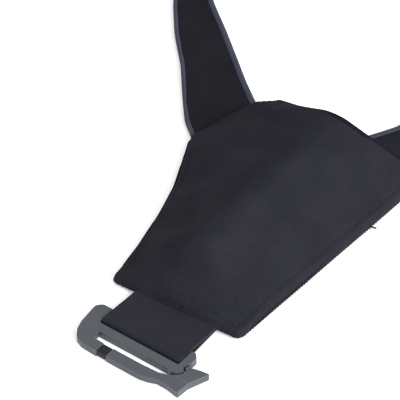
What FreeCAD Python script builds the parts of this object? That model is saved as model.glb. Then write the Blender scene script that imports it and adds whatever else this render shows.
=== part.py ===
"""Avalanche transceiver in its carrying harness: a parametric model, in millimetres.

The frame's origin is on the wearer's side of the back panel, below the middle of the stowed
transceiver.  +X runs along the belt away from the buckle, +Y towards the shoulder strap, +Z away
from the wearer.  Every driving dimension is a named cell of the sheet; a `Size` carries a cell's
value together with its formula, so an object is placed by a number and bound to the sheet at once.
"""
import FreeCAD
import Part
import PartDesign
import Sketcher
import math
import os
from FreeCAD import Placement, Rotation, Vector

SHEET = "Sizes"

# ---------------------------------------------------------------- driving dimensions

DIMENSIONS = {
    # transceiver case: a wedge-shaped section with its ridge off centre
    "device_length": 112.0,
    "device_width": 62.0,
    "device_height": 22.0,
    "near_edge_height": 5.0,
    "far_edge_height": 8.0,
    "ridge_near": 3.0,
    "ridge_far": 9.0,
    "case_wall": 2.0,
    "case_round": 1.6,
    "split_height": 3.4,
    "seal_thickness": 0.8,
    "seal_width": 1.0,
    # cells and their hatch
    "cell_radius": 5.25,
    "cell_length": 44.5,
    "cell_pitch": 11.0,
    "cells_middle": 4.5,
    "cells_inset": 2.5,
    "hatch_margin": 3.0,
    "hatch_gap": 0.2,
    "contact_thickness": 0.5,
    # face with display and keys
    "window_length": 40.0,
    "window_width": 24.0,
    "window_thickness": 1.4,
    "window_inset": 8.0,
    "window_rise": 10.0,
    "display_thickness": 1.8,
    "recess_depth": 0.7,
    "key_radius": 4.5,
    "key_height": 2.2,
    "key_gap": 0.3,
    "key_travel": 0.6,
    "key_spacing": 13.0,
    "key_offset": 8.0,
    "membrane_thickness": 0.6,
    "switch_length": 14.0,
    "switch_width": 4.6,
    "switch_travel": 8.0,
    "switch_gap": 0.3,
    # electronics
    "board_length": 44.0,
    "board_width": 40.0,
    "board_thickness": 1.6,
    "board_lift": 3.6,
    "rod_radius": 2.6,
    "coil_wall": 0.5,
    "rod_long": 84.0,
    "rod_cross": 34.0,
    "coil_upright_radius": 5.0,
    "coil_upright_height": 9.0,
    "speaker_radius": 7.0,
    "speaker_height": 3.6,
    "motor_radius": 2.5,
    "motor_length": 9.0,
    "weight_length": 3.0,
    "shaft_radius": 0.5,
    "screw_radius": 1.4,
    "lug_length": 7.0,
    "lug_width": 12.0,
    "lug_thickness": 3.0,
    "lug_hole": 2.2,
    "grip_thickness": 0.4,
    "grip_length": 80.0,
    # pouch
    "panel_thickness": 3.6,
    "fabric_thickness": 1.2,
    "bay_clearance": 0.8,
    "floor_clearance": 0.3,
    "end_margin": 26.0,
    "mouth_margin": 20.0,
    "near_margin": 6.0,
    "near_flare": 10.0,
    "far_margin": 7.0,
    "far_rise": 41.0,
    "binding_width": 2.4,
    "binding_step": 0.5,
    # shoulder strap
    "strap_thickness": 2.8,
    "strap_base": 28.0,
    "strap_end": 20.0,
    "strap_run": 94.0,
    "shoulder_width": 20.0,
    "bend_radius": 60.0,
    # belt
    "belt_width": 38.0,
    "belt_drop": 31.0,
    "wing_length": 54.0,
    "belt_reach": 235.0,
    "belt_tail": 85.0,
    "webbing_thickness": 1.3,
    "loop_gap": 4.4,
    "shoulder_tail": 80.0,
    "yoke_width": 44.0,
    "yoke_rise": 2.0,
    "bar_clearance": 0.1,
    # rings
    "ring_rod": 2.1,
    "ring_gap": 10.0,
    "leash_rod": 1.5,
    "leash_gap": 13.0,
    "leash_width": 10.0,
    "leash_place": 70.0,
    # hook buckle
    "hook_width": 48.0,
    "hook_clearance": 0.4,
    "hook_thickness": 4.2,
    "hook_bar": 1.3,
    "hook_reach": 28.0,
    "bar_to_rail": 5.4,
    "rail_width": 5.0,
    "rail_thickness": 2.9,
    "hook_slot": 5.1,
    "gate_width": 6.1,
    "arm_width": 7.8,
    "flex_length": 5.4,
    "gate_clearance": 0.3,
    "thumb_length": 12.0,
    "corner_round": 3.0,
    "edge_round": 0.5,
    # adjusters
    "adjuster_length": 20.0,
    "adjuster_rail": 3.5,
    "adjuster_bar": 3.6,
    "adjuster_top": 2.0,
    "adjuster_clearance": 0.4,
    "belt_adjuster_place": 50.0,
    "strap_adjuster_place": 58.0,
}


class Size:
    """A length or angle with its present value and the sheet formula that gives it."""

    def __init__(self, value, formula):
        self.value = float(value)
        self.formula = formula

    @staticmethod
    def of(thing):
        """Wrap a bare number, or pass a Size through."""
        if isinstance(thing, Size):
            return thing
        return Size(thing, f"{thing:g}" if thing >= 0 else f"(0 - {-thing:g})")

    def _join(self, other, sign, value):
        other = Size.of(other)
        return Size(value, f"({self.formula} {sign} {other.formula})")

    def __add__(self, other):
        return self._join(other, "+", self.value + Size.of(other).value)

    def __sub__(self, other):
        return self._join(other, "-", self.value - Size.of(other).value)

    def __mul__(self, other):
        return self._join(other, "*", self.value * Size.of(other).value)

    def __truediv__(self, other):
        return self._join(other, "/", self.value / Size.of(other).value)

    def __radd__(self, other):
        return Size.of(other) + self

    def __rsub__(self, other):
        return Size.of(other) - self

    def __rmul__(self, other):
        return Size.of(other) * self

    def __neg__(self):
        return Size(-self.value, f"(0 - {self.formula})")


doc = FreeCAD.newDocument("TransceiverHarness")
sheet = doc.addObject("Spreadsheet::Sheet", SHEET)


class Dimensions:
    """The sheet's cells as attributes, each one a Size."""

    def __init__(self, table):
        for row, (name, value) in enumerate(table.items(), start=1):
            sheet.set(f"A{row}", name)
            sheet.set(f"B{row}", f"{value:g}")
            sheet.setAlias(f"B{row}", name)
        doc.recompute()
        for name in table:
            setattr(self, name, Size(float(sheet.get(name)), f"{SHEET}.{name}"))


d = Dimensions(DIMENSIONS)
parts = {}


# ---------------------------------------------------------------- modelling helpers

def bind(thing, prop, size):
    """Bind one property of an object to the sheet."""
    thing.setExpression(prop, Size.of(size).formula)


def keep(node, thing):
    """Label an object as a finished sub-part."""
    thing.Label = node
    parts[node] = thing
    return thing


def place(thing, corner, turn=None):
    """Put an object at a corner point, turned about +X by an optional angle."""
    thing.Placement = Placement(Vector(*[Size.of(c).value for c in corner]), Rotation(Vector(1, 0, 0), 0))
    if turn is not None:
        thing.Placement.Rotation = Rotation(Vector(1, 0, 0), turn.value)
        bind(thing, "Placement.Rotation.Angle", turn)
    for axis, size in zip("xyz", corner):
        bind(thing, f"Placement.Base.{axis}", size)
    return thing


def block(corner, extent, turn=None):
    """A box from its lowest corner and its three lengths."""
    box = doc.addObject("Part::Box", "Block")
    for prop, size in zip(("Length", "Width", "Height"), extent):
        bind(box, prop, size)
    return place(box, corner, turn)


def rod(centre, radius, length, along="z"):
    """A cylinder from the centre of its first end, along one row axis."""
    cylinder = doc.addObject("Part::Cylinder", "Rod")
    bind(cylinder, "Radius", radius)
    bind(cylinder, "Height", length)
    place(cylinder, centre)
    turns = {"x": Rotation(Vector(0, 1, 0), 90), "y": Rotation(Vector(1, 0, 0), -90), "z": Rotation()}
    cylinder.Placement.Rotation = turns[along]
    return cylinder


def fuse(*pieces):
    """One solid from several overlapping ones."""
    joined = doc.addObject("Part::MultiFuse", "Joined")
    joined.Shapes = list(pieces)
    joined.Refine = True
    return joined


def cut(base, *tools):
    """A solid with every tool taken out of it."""
    for tool in tools:
        result = doc.addObject("Part::Cut", "Cut")
        result.Base = base
        result.Tool = tool
        base = result
    return base


def common(first, second):
    """What two solids share."""
    result = doc.addObject("Part::Common", "Shared")
    result.Base = first
    result.Tool = second
    return result


def attach(sketch, body, plane):
    """Lay a sketch on one of its own body's origin planes."""
    support = [item for item in body.Origin.OriginFeatures if item.Role == plane][0]
    sketch.AttachmentSupport = [(support, "")]
    sketch.MapMode = "FlatFace"


def draw_outline(sketch, points):
    """A closed outline whose corners are each bound to the sheet."""
    first = sketch.GeometryCount
    count = len(points)
    corners = [Vector(Size.of(u).value, Size.of(v).value, 0) for u, v in points]
    for index, corner in enumerate(corners):
        sketch.addGeometry(Part.LineSegment(corner, corners[(index + 1) % count]), False)
    for index in range(count):
        follower = first + (index + 1) % count
        sketch.addConstraint(Sketcher.Constraint("Coincident", first + index, 2, follower, 1))
    for index, (u, v) in enumerate(points):
        for kind, size in (("DistanceX", Size.of(u)), ("DistanceY", Size.of(v))):
            number = sketch.addConstraint(Sketcher.Constraint(kind, -1, 1, first + index, 1, size.value))
            sketch.setExpression(f"Constraints[{number}]", size.formula)


def padded(plane, points, start, length, holes=()):
    """A body padded from an outline with holes; `start` is measured along the plane's row axis."""
    body = doc.addObject("PartDesign::Body", "Body")
    sketch = body.newObject("Sketcher::SketchObject", "Outline")
    attach(sketch, body, plane)
    draw_outline(sketch, points)
    for hole in holes:
        draw_outline(sketch, hole)
    towards = -1 if plane == "XZ_Plane" else 1
    offset = Size.of(start) * towards
    sketch.AttachmentOffset = Placement(Vector(0, 0, offset.value), Rotation())
    bind(sketch, "AttachmentOffset.Base.z", offset)
    pad = body.newObject("PartDesign::Pad", "Pad")
    pad.Profile = sketch
    pad.Reversed = plane == "XZ_Plane"
    bind(pad, "Length", length)
    sketch.Visibility = False
    return body


def pocket(body, plane, points, start, depth, downward=True):
    """Cut an outline into a body from `start` along the plane's axis."""
    sketch = body.newObject("Sketcher::SketchObject", "Hollow")
    attach(sketch, body, plane)
    draw_outline(sketch, points)
    sketch.AttachmentOffset = Placement(Vector(0, 0, Size.of(start).value), Rotation())
    bind(sketch, "AttachmentOffset.Base.z", start)
    feature = body.newObject("PartDesign::Pocket", "Pocket")
    feature.Profile = sketch
    feature.Reversed = not downward
    bind(feature, "Length", depth)
    return body


def round_edges(body, chosen, radius):
    """Fillet the edges of a body's tip that `chosen` picks by their geometry."""
    doc.recompute()
    tip = body.Tip
    names = [f"Edge{i}" for i, edge in enumerate(tip.Shape.Edges, start=1) if chosen(edge)]
    fillet = body.newObject("PartDesign::Fillet", "Fillet")
    fillet.Base = (tip, names)
    bind(fillet, "Radius", radius)
    return body


def upright(edge):
    """True for a straight edge along Z."""
    return edge.Vertexes[0].Point.distanceToPoint(edge.Vertexes[-1].Point) > 0.5 and \
        abs(edge.tangentAt(edge.FirstParameter).z) > 0.99


def solid_feature(node, shape):
    """A finished sub-part whose shape is made directly from the sheet's values."""
    feature = doc.addObject("Part::Feature", "Solid")
    feature.Shape = shape
    feature.Placement = shape.Placement
    return keep(node, feature)


def polyhedron(rings):
    """A closed solid through rings of equally many points, its sides split into triangles."""
    bottom, top = rings[0], rings[-1]
    faces = [Part.Face(Part.makePolygon(list(reversed(bottom)) + [bottom[-1]]))]
    faces.append(Part.Face(Part.makePolygon(top + [top[0]])))
    for low, high in zip(rings, rings[1:]):
        for i, point in enumerate(low):
            j = (i + 1) % len(low)
            for corners in ((point, low[j], high[j]), (point, high[j], high[i])):
                faces.append(Part.Face(Part.makePolygon(list(corners) + [corners[0]])))
    solid = Part.makeSolid(Part.makeShell(faces))
    solid.fix(0.001, 0.001, 0.001)
    return solid


def prism_from_profile(outer, inner, start, width):
    """Extrude an XZ outline, with an optional hollow, along +Y."""
    wires = [wire for wire in (outer, inner) if wire is not None]
    face = Part.Face(wires, "Part::FaceMakerBullseye")
    solid = face.extrude(Vector(0, width, 0))
    solid.translate(Vector(0, start, 0))
    return solid


# ---------------------------------------------------------------- places worked out from the sizes

ZERO = Size.of(0)
HALF_LENGTH = d.device_length / 2
HALF_WIDTH = d.device_width / 2
DEVICE_FLOOR = d.panel_thickness + d.floor_clearance
PANEL_LEFT = -(HALF_LENGTH + d.end_margin)
PANEL_MOUTH = HALF_LENGTH + d.mouth_margin
NEAR_LEFT = -(HALF_WIDTH + d.near_margin)
NEAR_RIGHT = NEAR_LEFT - d.near_flare
FAR_LEFT = HALF_WIDTH + d.far_margin
FAR_TOP = HALF_WIDTH + d.far_rise
STRAP_LEFT = d.strap_base
STRAP_RIGHT = d.strap_base + 47
STRAP_RIGHT_Y = FAR_TOP - 11
BELT_LOW = -(d.belt_drop + d.belt_width / 2)
BELT_HIGH = BELT_LOW + d.belt_width
WING_END = PANEL_MOUTH + d.wing_length
YOKE_X = WING_END + 118
BELT_END = WING_END + d.belt_reach
HAIRPIN = d.loop_gap + d.webbing_thickness * 2
BAR_X = PANEL_LEFT - (d.hook_reach - 1)
HOOK_INNER = d.hook_width / 2 + d.hook_clearance


# ---------------------------------------------------------------- pouch

def panel_outline():
    """Plan of the back panel, anticlockwise from the buckle end's lower corner."""
    return [
        (PANEL_LEFT, NEAR_LEFT),
        (PANEL_MOUTH + 2, NEAR_RIGHT - 1),
        (PANEL_MOUTH + 6, HALF_WIDTH + 23),
        (STRAP_RIGHT, STRAP_RIGHT_Y),
        (STRAP_LEFT, FAR_TOP),
        (PANEL_LEFT + 74, HALF_WIDTH + 24),
        (PANEL_LEFT + 25, HALF_WIDTH + 10.5),
        (PANEL_LEFT - 2, FAR_LEFT),
    ]


def build_back_panel():
    """Padded panel against the wearer, recessed where the buckle webbing is sewn in."""
    panel = padded("XY_Plane", panel_outline(), 0, d.panel_thickness)
    tail = d.hook_width / 2 + 0.2
    left = PANEL_LEFT - 6
    right = PANEL_LEFT + 22
    recess = [(left, -tail), (right, -tail), (right, tail), (left, tail)]
    pocket(panel, "XY_Plane", recess, d.panel_thickness, d.webbing_thickness * 2)
    keep("back_panel", panel)


def device_section(grow):
    """The case's YZ section, grown outwards by `grow`, from the device's floor."""
    floor = DEVICE_FLOOR - d.floor_clearance * (1 if Size.of(grow).value > 0 else 0)
    side = HALF_WIDTH + grow
    return [
        (-side, floor),
        (side, floor),
        (side, DEVICE_FLOOR + d.far_edge_height + grow),
        (d.ridge_far + grow / 2, DEVICE_FLOOR + d.device_height + grow),
        (d.ridge_near - grow / 2, DEVICE_FLOOR + d.device_height + grow),
        (-side, DEVICE_FLOOR + d.near_edge_height + grow),
    ]


def pouch_cover():
    """Solid cover over the bay: from the panel's outline up to the case's edges, then to its ridge."""
    cloth = (d.bay_clearance + d.fabric_thickness).value
    floor = DEVICE_FLOOR.value
    crest = floor + d.device_height.value + cloth
    near_z = floor + d.near_edge_height.value + cloth
    far_z = floor + d.far_edge_height.value + cloth
    side = HALF_WIDTH.value + cloth
    closed = -(HALF_LENGTH.value + cloth)
    hood = (HALF_LENGTH + d.mouth_margin * 0.65).value
    spread = [closed, hood, hood, STRAP_RIGHT.value - 20, STRAP_LEFT.value - 8, -12.0, -38.0, closed]
    base = [Vector(x.value, y.value, d.panel_thickness.value) for x, y in panel_outline()]
    middle = [Vector(x, -side if i < 2 else side, near_z if i < 2 else far_z) for i, x in enumerate(spread)]
    near_crest = d.ridge_near.value - cloth / 2
    far_crest = d.ridge_far.value + cloth / 2
    top = [Vector(x, near_crest if i < 2 else far_crest, crest) for i, x in enumerate(spread)]
    return polyhedron([base, middle, top])


def build_pouch_front():
    """Front of the pouch, open at its mouth, and the binding round the mouth."""
    doc.recompute()
    grow = d.bay_clearance
    section = [Vector(0, u.value, v.value) for u, v in device_section(grow)]
    bay = Part.Face(Part.makePolygon(section + [section[0]]))
    start = -(HALF_LENGTH + d.bay_clearance).value
    bay.translate(Vector(start, 0, 0))
    tunnel = bay.extrude(Vector(d.device_length.value * 2, 0, 0))
    cover = pouch_cover().cut(tunnel)
    seam = (HALF_LENGTH + d.mouth_margin / 2 - 2).value
    reach = d.device_length.value
    edge_zone = Part.makeBox(reach, reach * 4, reach, Vector(seam, -reach * 2, -1))
    solid_feature("pouch_front", cover.cut(edge_zone))
    solid_feature("mouth_binding", cover.common(edge_zone))


def strap_edge(share, side, inset=ZERO):
    """A point on the shoulder strap's edge; `share` runs 0…1 from panel to tip, `side` is ±1."""
    base_x = (STRAP_LEFT + STRAP_RIGHT) / 2
    base_y = (FAR_TOP + STRAP_RIGHT_Y) / 2
    run = d.strap_run / math.sqrt(2)
    start_half = (STRAP_RIGHT - STRAP_LEFT) * 0.43
    half = (start_half + (d.strap_end / 2 - start_half) * share - inset) / math.sqrt(2)
    along = run * (1.43 * share)
    return base_x + along + half * side, base_y + along - half * side


def build_shoulder_strap():
    """Tapered strap from the panel's far corner, with a bound edge on each side."""
    inset = d.binding_width
    left = [strap_edge(share, -1, inset) for share in (1.0, 0.5, 0.0)]
    right = [strap_edge(share, 1, inset) for share in (0.0, 0.5, 1.0)]
    foot_right = (STRAP_RIGHT - d.binding_width - 0.5, STRAP_RIGHT_Y + 1.2)
    foot_left = (STRAP_LEFT + d.binding_width + 0.5, FAR_TOP - 0.2)
    outline = [foot_left, foot_right] + right[1:] + left[:2]
    keep("shoulder_strap", padded("XY_Plane", outline, 0, d.strap_thickness))
    for name, side, foot in (("strap_binding_left", -1, foot_left), ("strap_binding_right", 1, foot_right)):
        outer_foot = (foot[0] + (d.binding_width * side), foot[1] - 0.55 * side)
        inner = [foot] + [strap_edge(share, side, inset) for share in (0.5, 1.0)]
        outer = [strap_edge(share, side) for share in (1.0, 0.5)] + [outer_foot]
        band = padded("XY_Plane", inner + outer, 0, d.strap_thickness + d.binding_step)
        keep(name, band)


def panel_mouth_x(y):
    """X of the panel's mouth edge at a height `y` across the belt."""
    low = (PANEL_MOUTH + 2, NEAR_RIGHT - 1)
    high = (PANEL_MOUTH + 6, HALF_WIDTH + 23)
    return low[0] + (high[0] - low[0]) * (y - low[1]) / (high[1] - low[1])


def build_belt_wing():
    """Spacer-mesh wing that narrows from the panel to the belt webbing."""
    edge = d.binding_width
    root_high = BELT_HIGH + 14
    root_low = root_high - edge
    shoulder = WING_END - 18
    outline = [
        (PANEL_MOUTH + 2, NEAR_RIGHT - 1),
        (shoulder, BELT_LOW),
        (WING_END, BELT_LOW),
        (WING_END, BELT_HIGH),
        (shoulder, BELT_HIGH - edge),
        (PANEL_MOUTH + 12, BELT_HIGH + 9 - edge),
        (panel_mouth_x(root_low), root_low),
    ]
    keep("belt_wing", padded("XY_Plane", outline, 0, d.panel_thickness - 0.4))
    strip = [
        (panel_mouth_x(root_low), root_low),
        (PANEL_MOUTH + 12, BELT_HIGH + 9 - edge),
        (shoulder, BELT_HIGH - edge),
        (WING_END, BELT_HIGH),
        (shoulder, BELT_HIGH),
        (PANEL_MOUTH + 12, BELT_HIGH + 9),
        (panel_mouth_x(root_high), root_high),
    ]
    keep("wing_binding", padded("XY_Plane", strip, 0, d.panel_thickness))


# ---------------------------------------------------------------- webbing

def hairpin_profile(bar_u, long_u, short_u):
    """Side view of webbing doubled round a bar: a long lower run and a shorter upper one."""
    thick = d.webbing_thickness.value
    outer = HAIRPIN.value / 2
    inner = outer - thick
    middle = outer
    side = 1 if bar_u > long_u else -1
    p = {
        "low_end": Vector(long_u, 0, 0),
        "low_turn": Vector(bar_u, 0, 0),
        "apex": Vector(bar_u + side * outer, 0, middle),
        "top_turn": Vector(bar_u, 0, 2 * outer),
        "top_end": Vector(short_u, 0, 2 * outer),
        "top_end_in": Vector(short_u, 0, 2 * outer - thick),
        "top_turn_in": Vector(bar_u, 0, 2 * outer - thick),
        "apex_in": Vector(bar_u + side * inner, 0, middle),
        "low_turn_in": Vector(bar_u, 0, thick),
        "low_end_in": Vector(long_u, 0, thick),
    }
    edges = [
        Part.LineSegment(p["low_end"], p["low_turn"]),
        Part.Arc(p["low_turn"], p["apex"], p["top_turn"]),
        Part.LineSegment(p["top_turn"], p["top_end"]),
        Part.LineSegment(p["top_end"], p["top_end_in"]),
        Part.LineSegment(p["top_end_in"], p["top_turn_in"]),
        Part.Arc(p["top_turn_in"], p["apex_in"], p["low_turn_in"]),
        Part.LineSegment(p["low_turn_in"], p["low_end_in"]),
        Part.LineSegment(p["low_end_in"], p["low_end"]),
    ]
    return Part.Wire([edge.toShape() for edge in edges])


def wrap_profile(bar_u, bar_z, bar_radius, meet_u, end_u, end_z):
    """Side view of webbing wrapped round a bar, its two runs meeting and lying on each other."""
    thick = d.webbing_thickness.value
    inner = bar_radius + d.bar_clearance.value
    outer = inner + thick
    side = 1 if bar_u > meet_u else -1
    lead = bar_u - side * outer * 0.4
    far = Vector(bar_u + side * outer, 0, bar_z)
    points = [Vector(bar_u, 0, bar_z + outer), Vector(lead, 0, bar_z + outer),
              Vector(meet_u, 0, end_z + thick), Vector(end_u, 0, end_z + thick),
              Vector(end_u, 0, end_z - thick), Vector(meet_u, 0, end_z - thick),
              Vector(lead, 0, bar_z - outer), Vector(bar_u, 0, bar_z - outer)]
    edges = [Part.LineSegment(a, b).toShape() for a, b in zip(points, points[1:])]
    edges.append(Part.Arc(points[-1], far, points[0]).toShape())
    meeting = Vector(meet_u + side * thick, 0, end_z)
    hollow = [Vector(bar_u, 0, bar_z + inner), Vector(lead, 0, bar_z + inner), meeting,
              Vector(lead, 0, bar_z - inner), Vector(bar_u, 0, bar_z - inner)]
    hole = [Part.LineSegment(a, b).toShape() for a, b in zip(hollow, hollow[1:])]
    hole_far = Vector(bar_u + side * inner, 0, bar_z)
    hole.append(Part.Arc(hollow[-1], hole_far, hollow[0]).toShape())
    return Part.Wire(edges), Part.Wire(hole)


def turn_to_y(shape, centre_x):
    """Turn a solid made in the XZ plane so that its run lies along Y, centred on `centre_x`."""
    shape.rotate(Vector(0, 0, 0), Vector(0, 0, 1), 90)
    shape.translate(Vector(centre_x, 0, 0))
    return shape


def build_buckle_webbing():
    """Wide webbing wrapped round the buckle's bar and sewn into the panel's recess."""
    thick = d.webbing_thickness.value
    bar_z = (d.hook_bar + d.bar_clearance + d.webbing_thickness).value
    end_z = d.panel_thickness.value - thick
    outer, inner = wrap_profile(BAR_X.value, bar_z, d.hook_bar.value, PANEL_LEFT.value - 4,
                                PANEL_LEFT.value + 21, end_z)
    width = d.hook_width.value
    solid_feature("buckle_webbing", prism_from_profile(outer, inner, -width / 2, width))


def build_belt_webbing():
    """Belt webbing doubled back on itself, its turned end left open as the hook's loop."""
    turn = (BELT_END - HAIRPIN / 2).value
    profile = hairpin_profile(turn, WING_END.value, turn - d.belt_tail.value)
    solid_feature("belt_webbing", prism_from_profile(profile, None, BELT_LOW.value, d.belt_width.value))


def build_shoulder_webbing():
    """Narrow elastic webbing: from the strap's tip through a bend to the yoke's ring and back."""
    half = d.shoulder_width.value / 2
    thick = d.webbing_thickness.value
    tip_left = strap_edge(1.0, -1)
    tip_right = strap_edge(1.0, 1)
    tip_x = (tip_left[0].value + tip_right[0].value) / 2
    tip_y = (tip_left[1].value + tip_right[1].value) / 2
    tip = Vector(tip_x, tip_y, 0)
    radius = d.bend_radius.value
    lean = math.radians(45)
    centre = tip + Vector(math.cos(lean), -math.sin(lean), 0) * radius
    down_x = centre.x + radius
    wires = []
    for reach in (radius - half, radius + half):
        start = centre + Vector(-math.cos(lean), math.sin(lean), 0) * reach
        middle = centre + Vector(math.sin(math.radians(22.5)), math.cos(math.radians(22.5)), 0) * reach
        wires.append((start, middle, centre + Vector(reach, 0, 0)))
    (a, b, c), (e, f, g) = wires
    outline = [Part.Arc(a, b, c).toShape(), Part.LineSegment(c, g).toShape(),
               Part.Arc(g, f, e).toShape(), Part.LineSegment(e, a).toShape()]
    bend = Part.Face(Part.Wire(outline)).extrude(Vector(0, 0, thick))
    bar_y = (ring_middle() + d.ring_gap / 2).value
    profile = hairpin_profile(bar_y, centre.y, bar_y + d.shoulder_tail.value)
    straight = turn_to_y(prism_from_profile(profile, None, -half, half * 2), down_x)
    solid_feature("shoulder_webbing", bend.fuse(straight).removeSplitter())
    return down_x


def ring_middle():
    """Y of the yoke ring's middle, beyond the belt's far edge."""
    return BELT_HIGH + 20


def ring_shape(centre, width, gap, rod_radius):
    """A rectangular ring of round rod, flat in the XY plane."""
    bend = rod_radius * 1.6
    half_x = width / 2
    half_y = gap / 2
    corners = [(half_x - bend, half_y - bend, 0), (-half_x + bend, half_y - bend, 90),
               (-half_x + bend, -half_y + bend, 180), (half_x - bend, -half_y + bend, 270)]
    pieces = []
    for x, y, first in corners:
        points = [Vector(x + bend * math.cos(math.radians(first + k)),
                         y + bend * math.sin(math.radians(first + k)), 0)
                  for k in (0, 45, 90)]
        pieces.append(points)
    edges = []
    for index, points in enumerate(pieces):
        edges.append(Part.Arc(*points).toShape())
        edges.append(Part.LineSegment(points[2], pieces[(index + 1) % 4][0]).toShape())
    path = Part.Wire(edges)
    start = pieces[0][0]
    section = Part.Wire(Part.makeCircle(rod_radius, start, Vector(0, 1, 0)))
    ring = path.makePipeShell([section], True, True)
    ring.translate(centre)
    return ring


def wrapped_tab(centre_x, bar_y, bar_z, bar_radius, width, meet_y, end_y, end_z):
    """A tab of webbing, running along Y, wrapped round a ring's bar on its far side."""
    outer, inner = wrap_profile(bar_y, bar_z, bar_radius, meet_y, end_y, end_z)
    solid = prism_from_profile(outer, inner, -width / 2, width)
    return turn_to_y(solid, centre_x)


def build_yoke(down_x):
    """Yoke patch sewn over the belt, its tab, and the ring that takes the shoulder webbing."""
    thick = d.webbing_thickness
    half = d.yoke_width / 2
    neck = d.shoulder_width / 2 + 3
    middle = Size(down_x, yoke_x_formula())
    patch = [
        (middle - half, BELT_LOW + 2),
        (middle + half, BELT_LOW + 2),
        (middle + half, BELT_LOW + 10),
        (middle + neck, BELT_HIGH - 1),
        (middle - neck, BELT_HIGH - 1),
        (middle - half, BELT_LOW + 10),
    ]
    keep("back_yoke", padded("XY_Plane", patch, thick, d.yoke_rise))
    bar_z = HAIRPIN.value / 2
    ring_y = ring_middle().value
    gap = d.ring_gap.value
    width = (d.shoulder_width + 4 + d.ring_rod * 2).value
    ring = ring_shape(Vector(down_x, ring_y, bar_z), width, gap, d.ring_rod.value)
    solid_feature("yoke_ring", ring)
    end_z = (thick + d.yoke_rise + thick).value
    bar_y = ring_y - gap / 2
    tab = wrapped_tab(down_x, bar_y, bar_z, d.ring_rod.value, d.shoulder_width.value,
                      (BELT_HIGH + 2).value, (BELT_HIGH - 18).value, end_z)
    solid_feature("yoke_tab", tab)


def yoke_x_formula():
    """Formula of the shoulder webbing's straight run: strap tip, bend centre and bend radius."""
    tip_x = (strap_edge(1.0, -1)[0] + strap_edge(1.0, 1)[0]) / 2
    return (tip_x + d.bend_radius * (1 + math.sqrt(0.5))).formula


def build_leash_anchor():
    """Loop sewn on the belt with a swinging ring for the transceiver's leash."""
    centre_x = (WING_END + d.leash_place).value
    rod_radius = d.leash_rod.value
    bar_z = (d.leash_rod + d.bar_clearance + d.webbing_thickness).value
    bar_y = (BELT_HIGH + 8).value
    end_z = (d.webbing_thickness * 2).value
    loop = wrapped_tab(centre_x, bar_y, bar_z, rod_radius, d.leash_width.value,
                       (BELT_HIGH + 1).value, (BELT_HIGH - 14).value, end_z)
    solid_feature("leash_loop", loop)
    width = (d.leash_width + 4 + d.leash_rod * 2).value
    gap = d.leash_gap.value
    ring = ring_shape(Vector(centre_x, bar_y + gap / 2, bar_z), width, gap, rod_radius)
    solid_feature("leash_ring", ring)


# ---------------------------------------------------------------- hook buckle

RAIL_NEAR = BAR_X - d.bar_to_rail
RAIL_FAR = RAIL_NEAR - d.rail_width
GATE_INNER = RAIL_FAR - d.hook_slot
GATE_OUTER = GATE_INNER - d.gate_width
ARM_OUTER = HOOK_INNER + d.arm_width
FLEX_TOP = HOOK_INNER - 11.2
FLEX_LOW = FLEX_TOP - d.flex_length


def frame_outline():
    """Plan of the buckle's frame: side arm, rail, corner of the outer arm and rounded knuckle."""
    arm_end = BAR_X + 5.6
    return [
        (arm_end, HOOK_INNER),
        (arm_end, ARM_OUTER - 1.8),
        (arm_end - 2.8, ARM_OUTER + 1.0),
        (RAIL_FAR + 0.4, ARM_OUTER - 0.4),
        (GATE_INNER + 0.4, ARM_OUTER - 2),
        (GATE_OUTER + 2.4, ARM_OUTER - 4.8),
        (GATE_OUTER + 0.5, ARM_OUTER - 9.2),
        (GATE_OUTER, FLEX_TOP),
        (GATE_INNER, FLEX_TOP),
        (GATE_INNER + 0.2, HOOK_INNER - 5.4),
        (GATE_INNER + 1.6, HOOK_INNER - 3.8),
        (RAIL_FAR, HOOK_INNER - 3.8),
        (RAIL_FAR, -(HOOK_INNER - 2.8)),
        (RAIL_FAR - 1.0, -(HOOK_INNER - 0.4)),
        (RAIL_FAR - 0.4, -(HOOK_INNER + 2.2)),
        (RAIL_FAR + 2.3, -(HOOK_INNER + 4.6)),
        (RAIL_NEAR - 1.6, -(HOOK_INNER + 4.6)),
        (RAIL_NEAR, -(HOOK_INNER + 2.8)),
        (BAR_X - 0.6, -(HOOK_INNER + 4.6)),
        (BAR_X + 3.2, -(HOOK_INNER + 4.6)),
        (arm_end, -(HOOK_INNER + 2.4)),
        (arm_end, -HOOK_INNER),
        (RAIL_NEAR, -HOOK_INNER),
        (RAIL_NEAR, HOOK_INNER),
    ]


def gate_outline():
    """Plan of the gate: outer arm, interlocking lip and swept thumb tab."""
    gap = d.gate_clearance * 3.3
    low = -(HOOK_INNER + 4.6)
    return [
        (GATE_OUTER, FLEX_LOW - d.gate_clearance),
        (GATE_OUTER, -(HOOK_INNER - 11.4)),
        (GATE_OUTER + 1.0, -(HOOK_INNER - 6.9)),
        (GATE_OUTER + 2.7, -(HOOK_INNER - 2.6)),
        (GATE_OUTER + 2.7, low + 1.7),
        (GATE_OUTER + 1.4, low - d.thumb_length / 2),
        (RAIL_FAR - 2.5, low - d.thumb_length * 0.56),
        (RAIL_NEAR - 2.6, low - d.thumb_length * 0.73),
        (RAIL_NEAR + 3.9, low - d.thumb_length * 0.95),
        (RAIL_NEAR + 3.1, low - d.thumb_length / 2),
        (RAIL_NEAR + 1.9, low - 1.6),
        (BAR_X - 1.6, low - 0.4),
        (RAIL_NEAR + 0.2, low + 0.8),
        (RAIL_NEAR - 1.3, low - gap),
        (RAIL_FAR + 1.9, low - gap),
        (RAIL_FAR - 1.4, low + 1.9),
        (RAIL_FAR - 2.6, low + 3.6),
        (GATE_INNER + 0.5, -(HOOK_INNER - 4.4)),
        (GATE_INNER, -(HOOK_INNER - 14.4)),
        (GATE_INNER, FLEX_LOW - d.gate_clearance),
    ]


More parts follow.
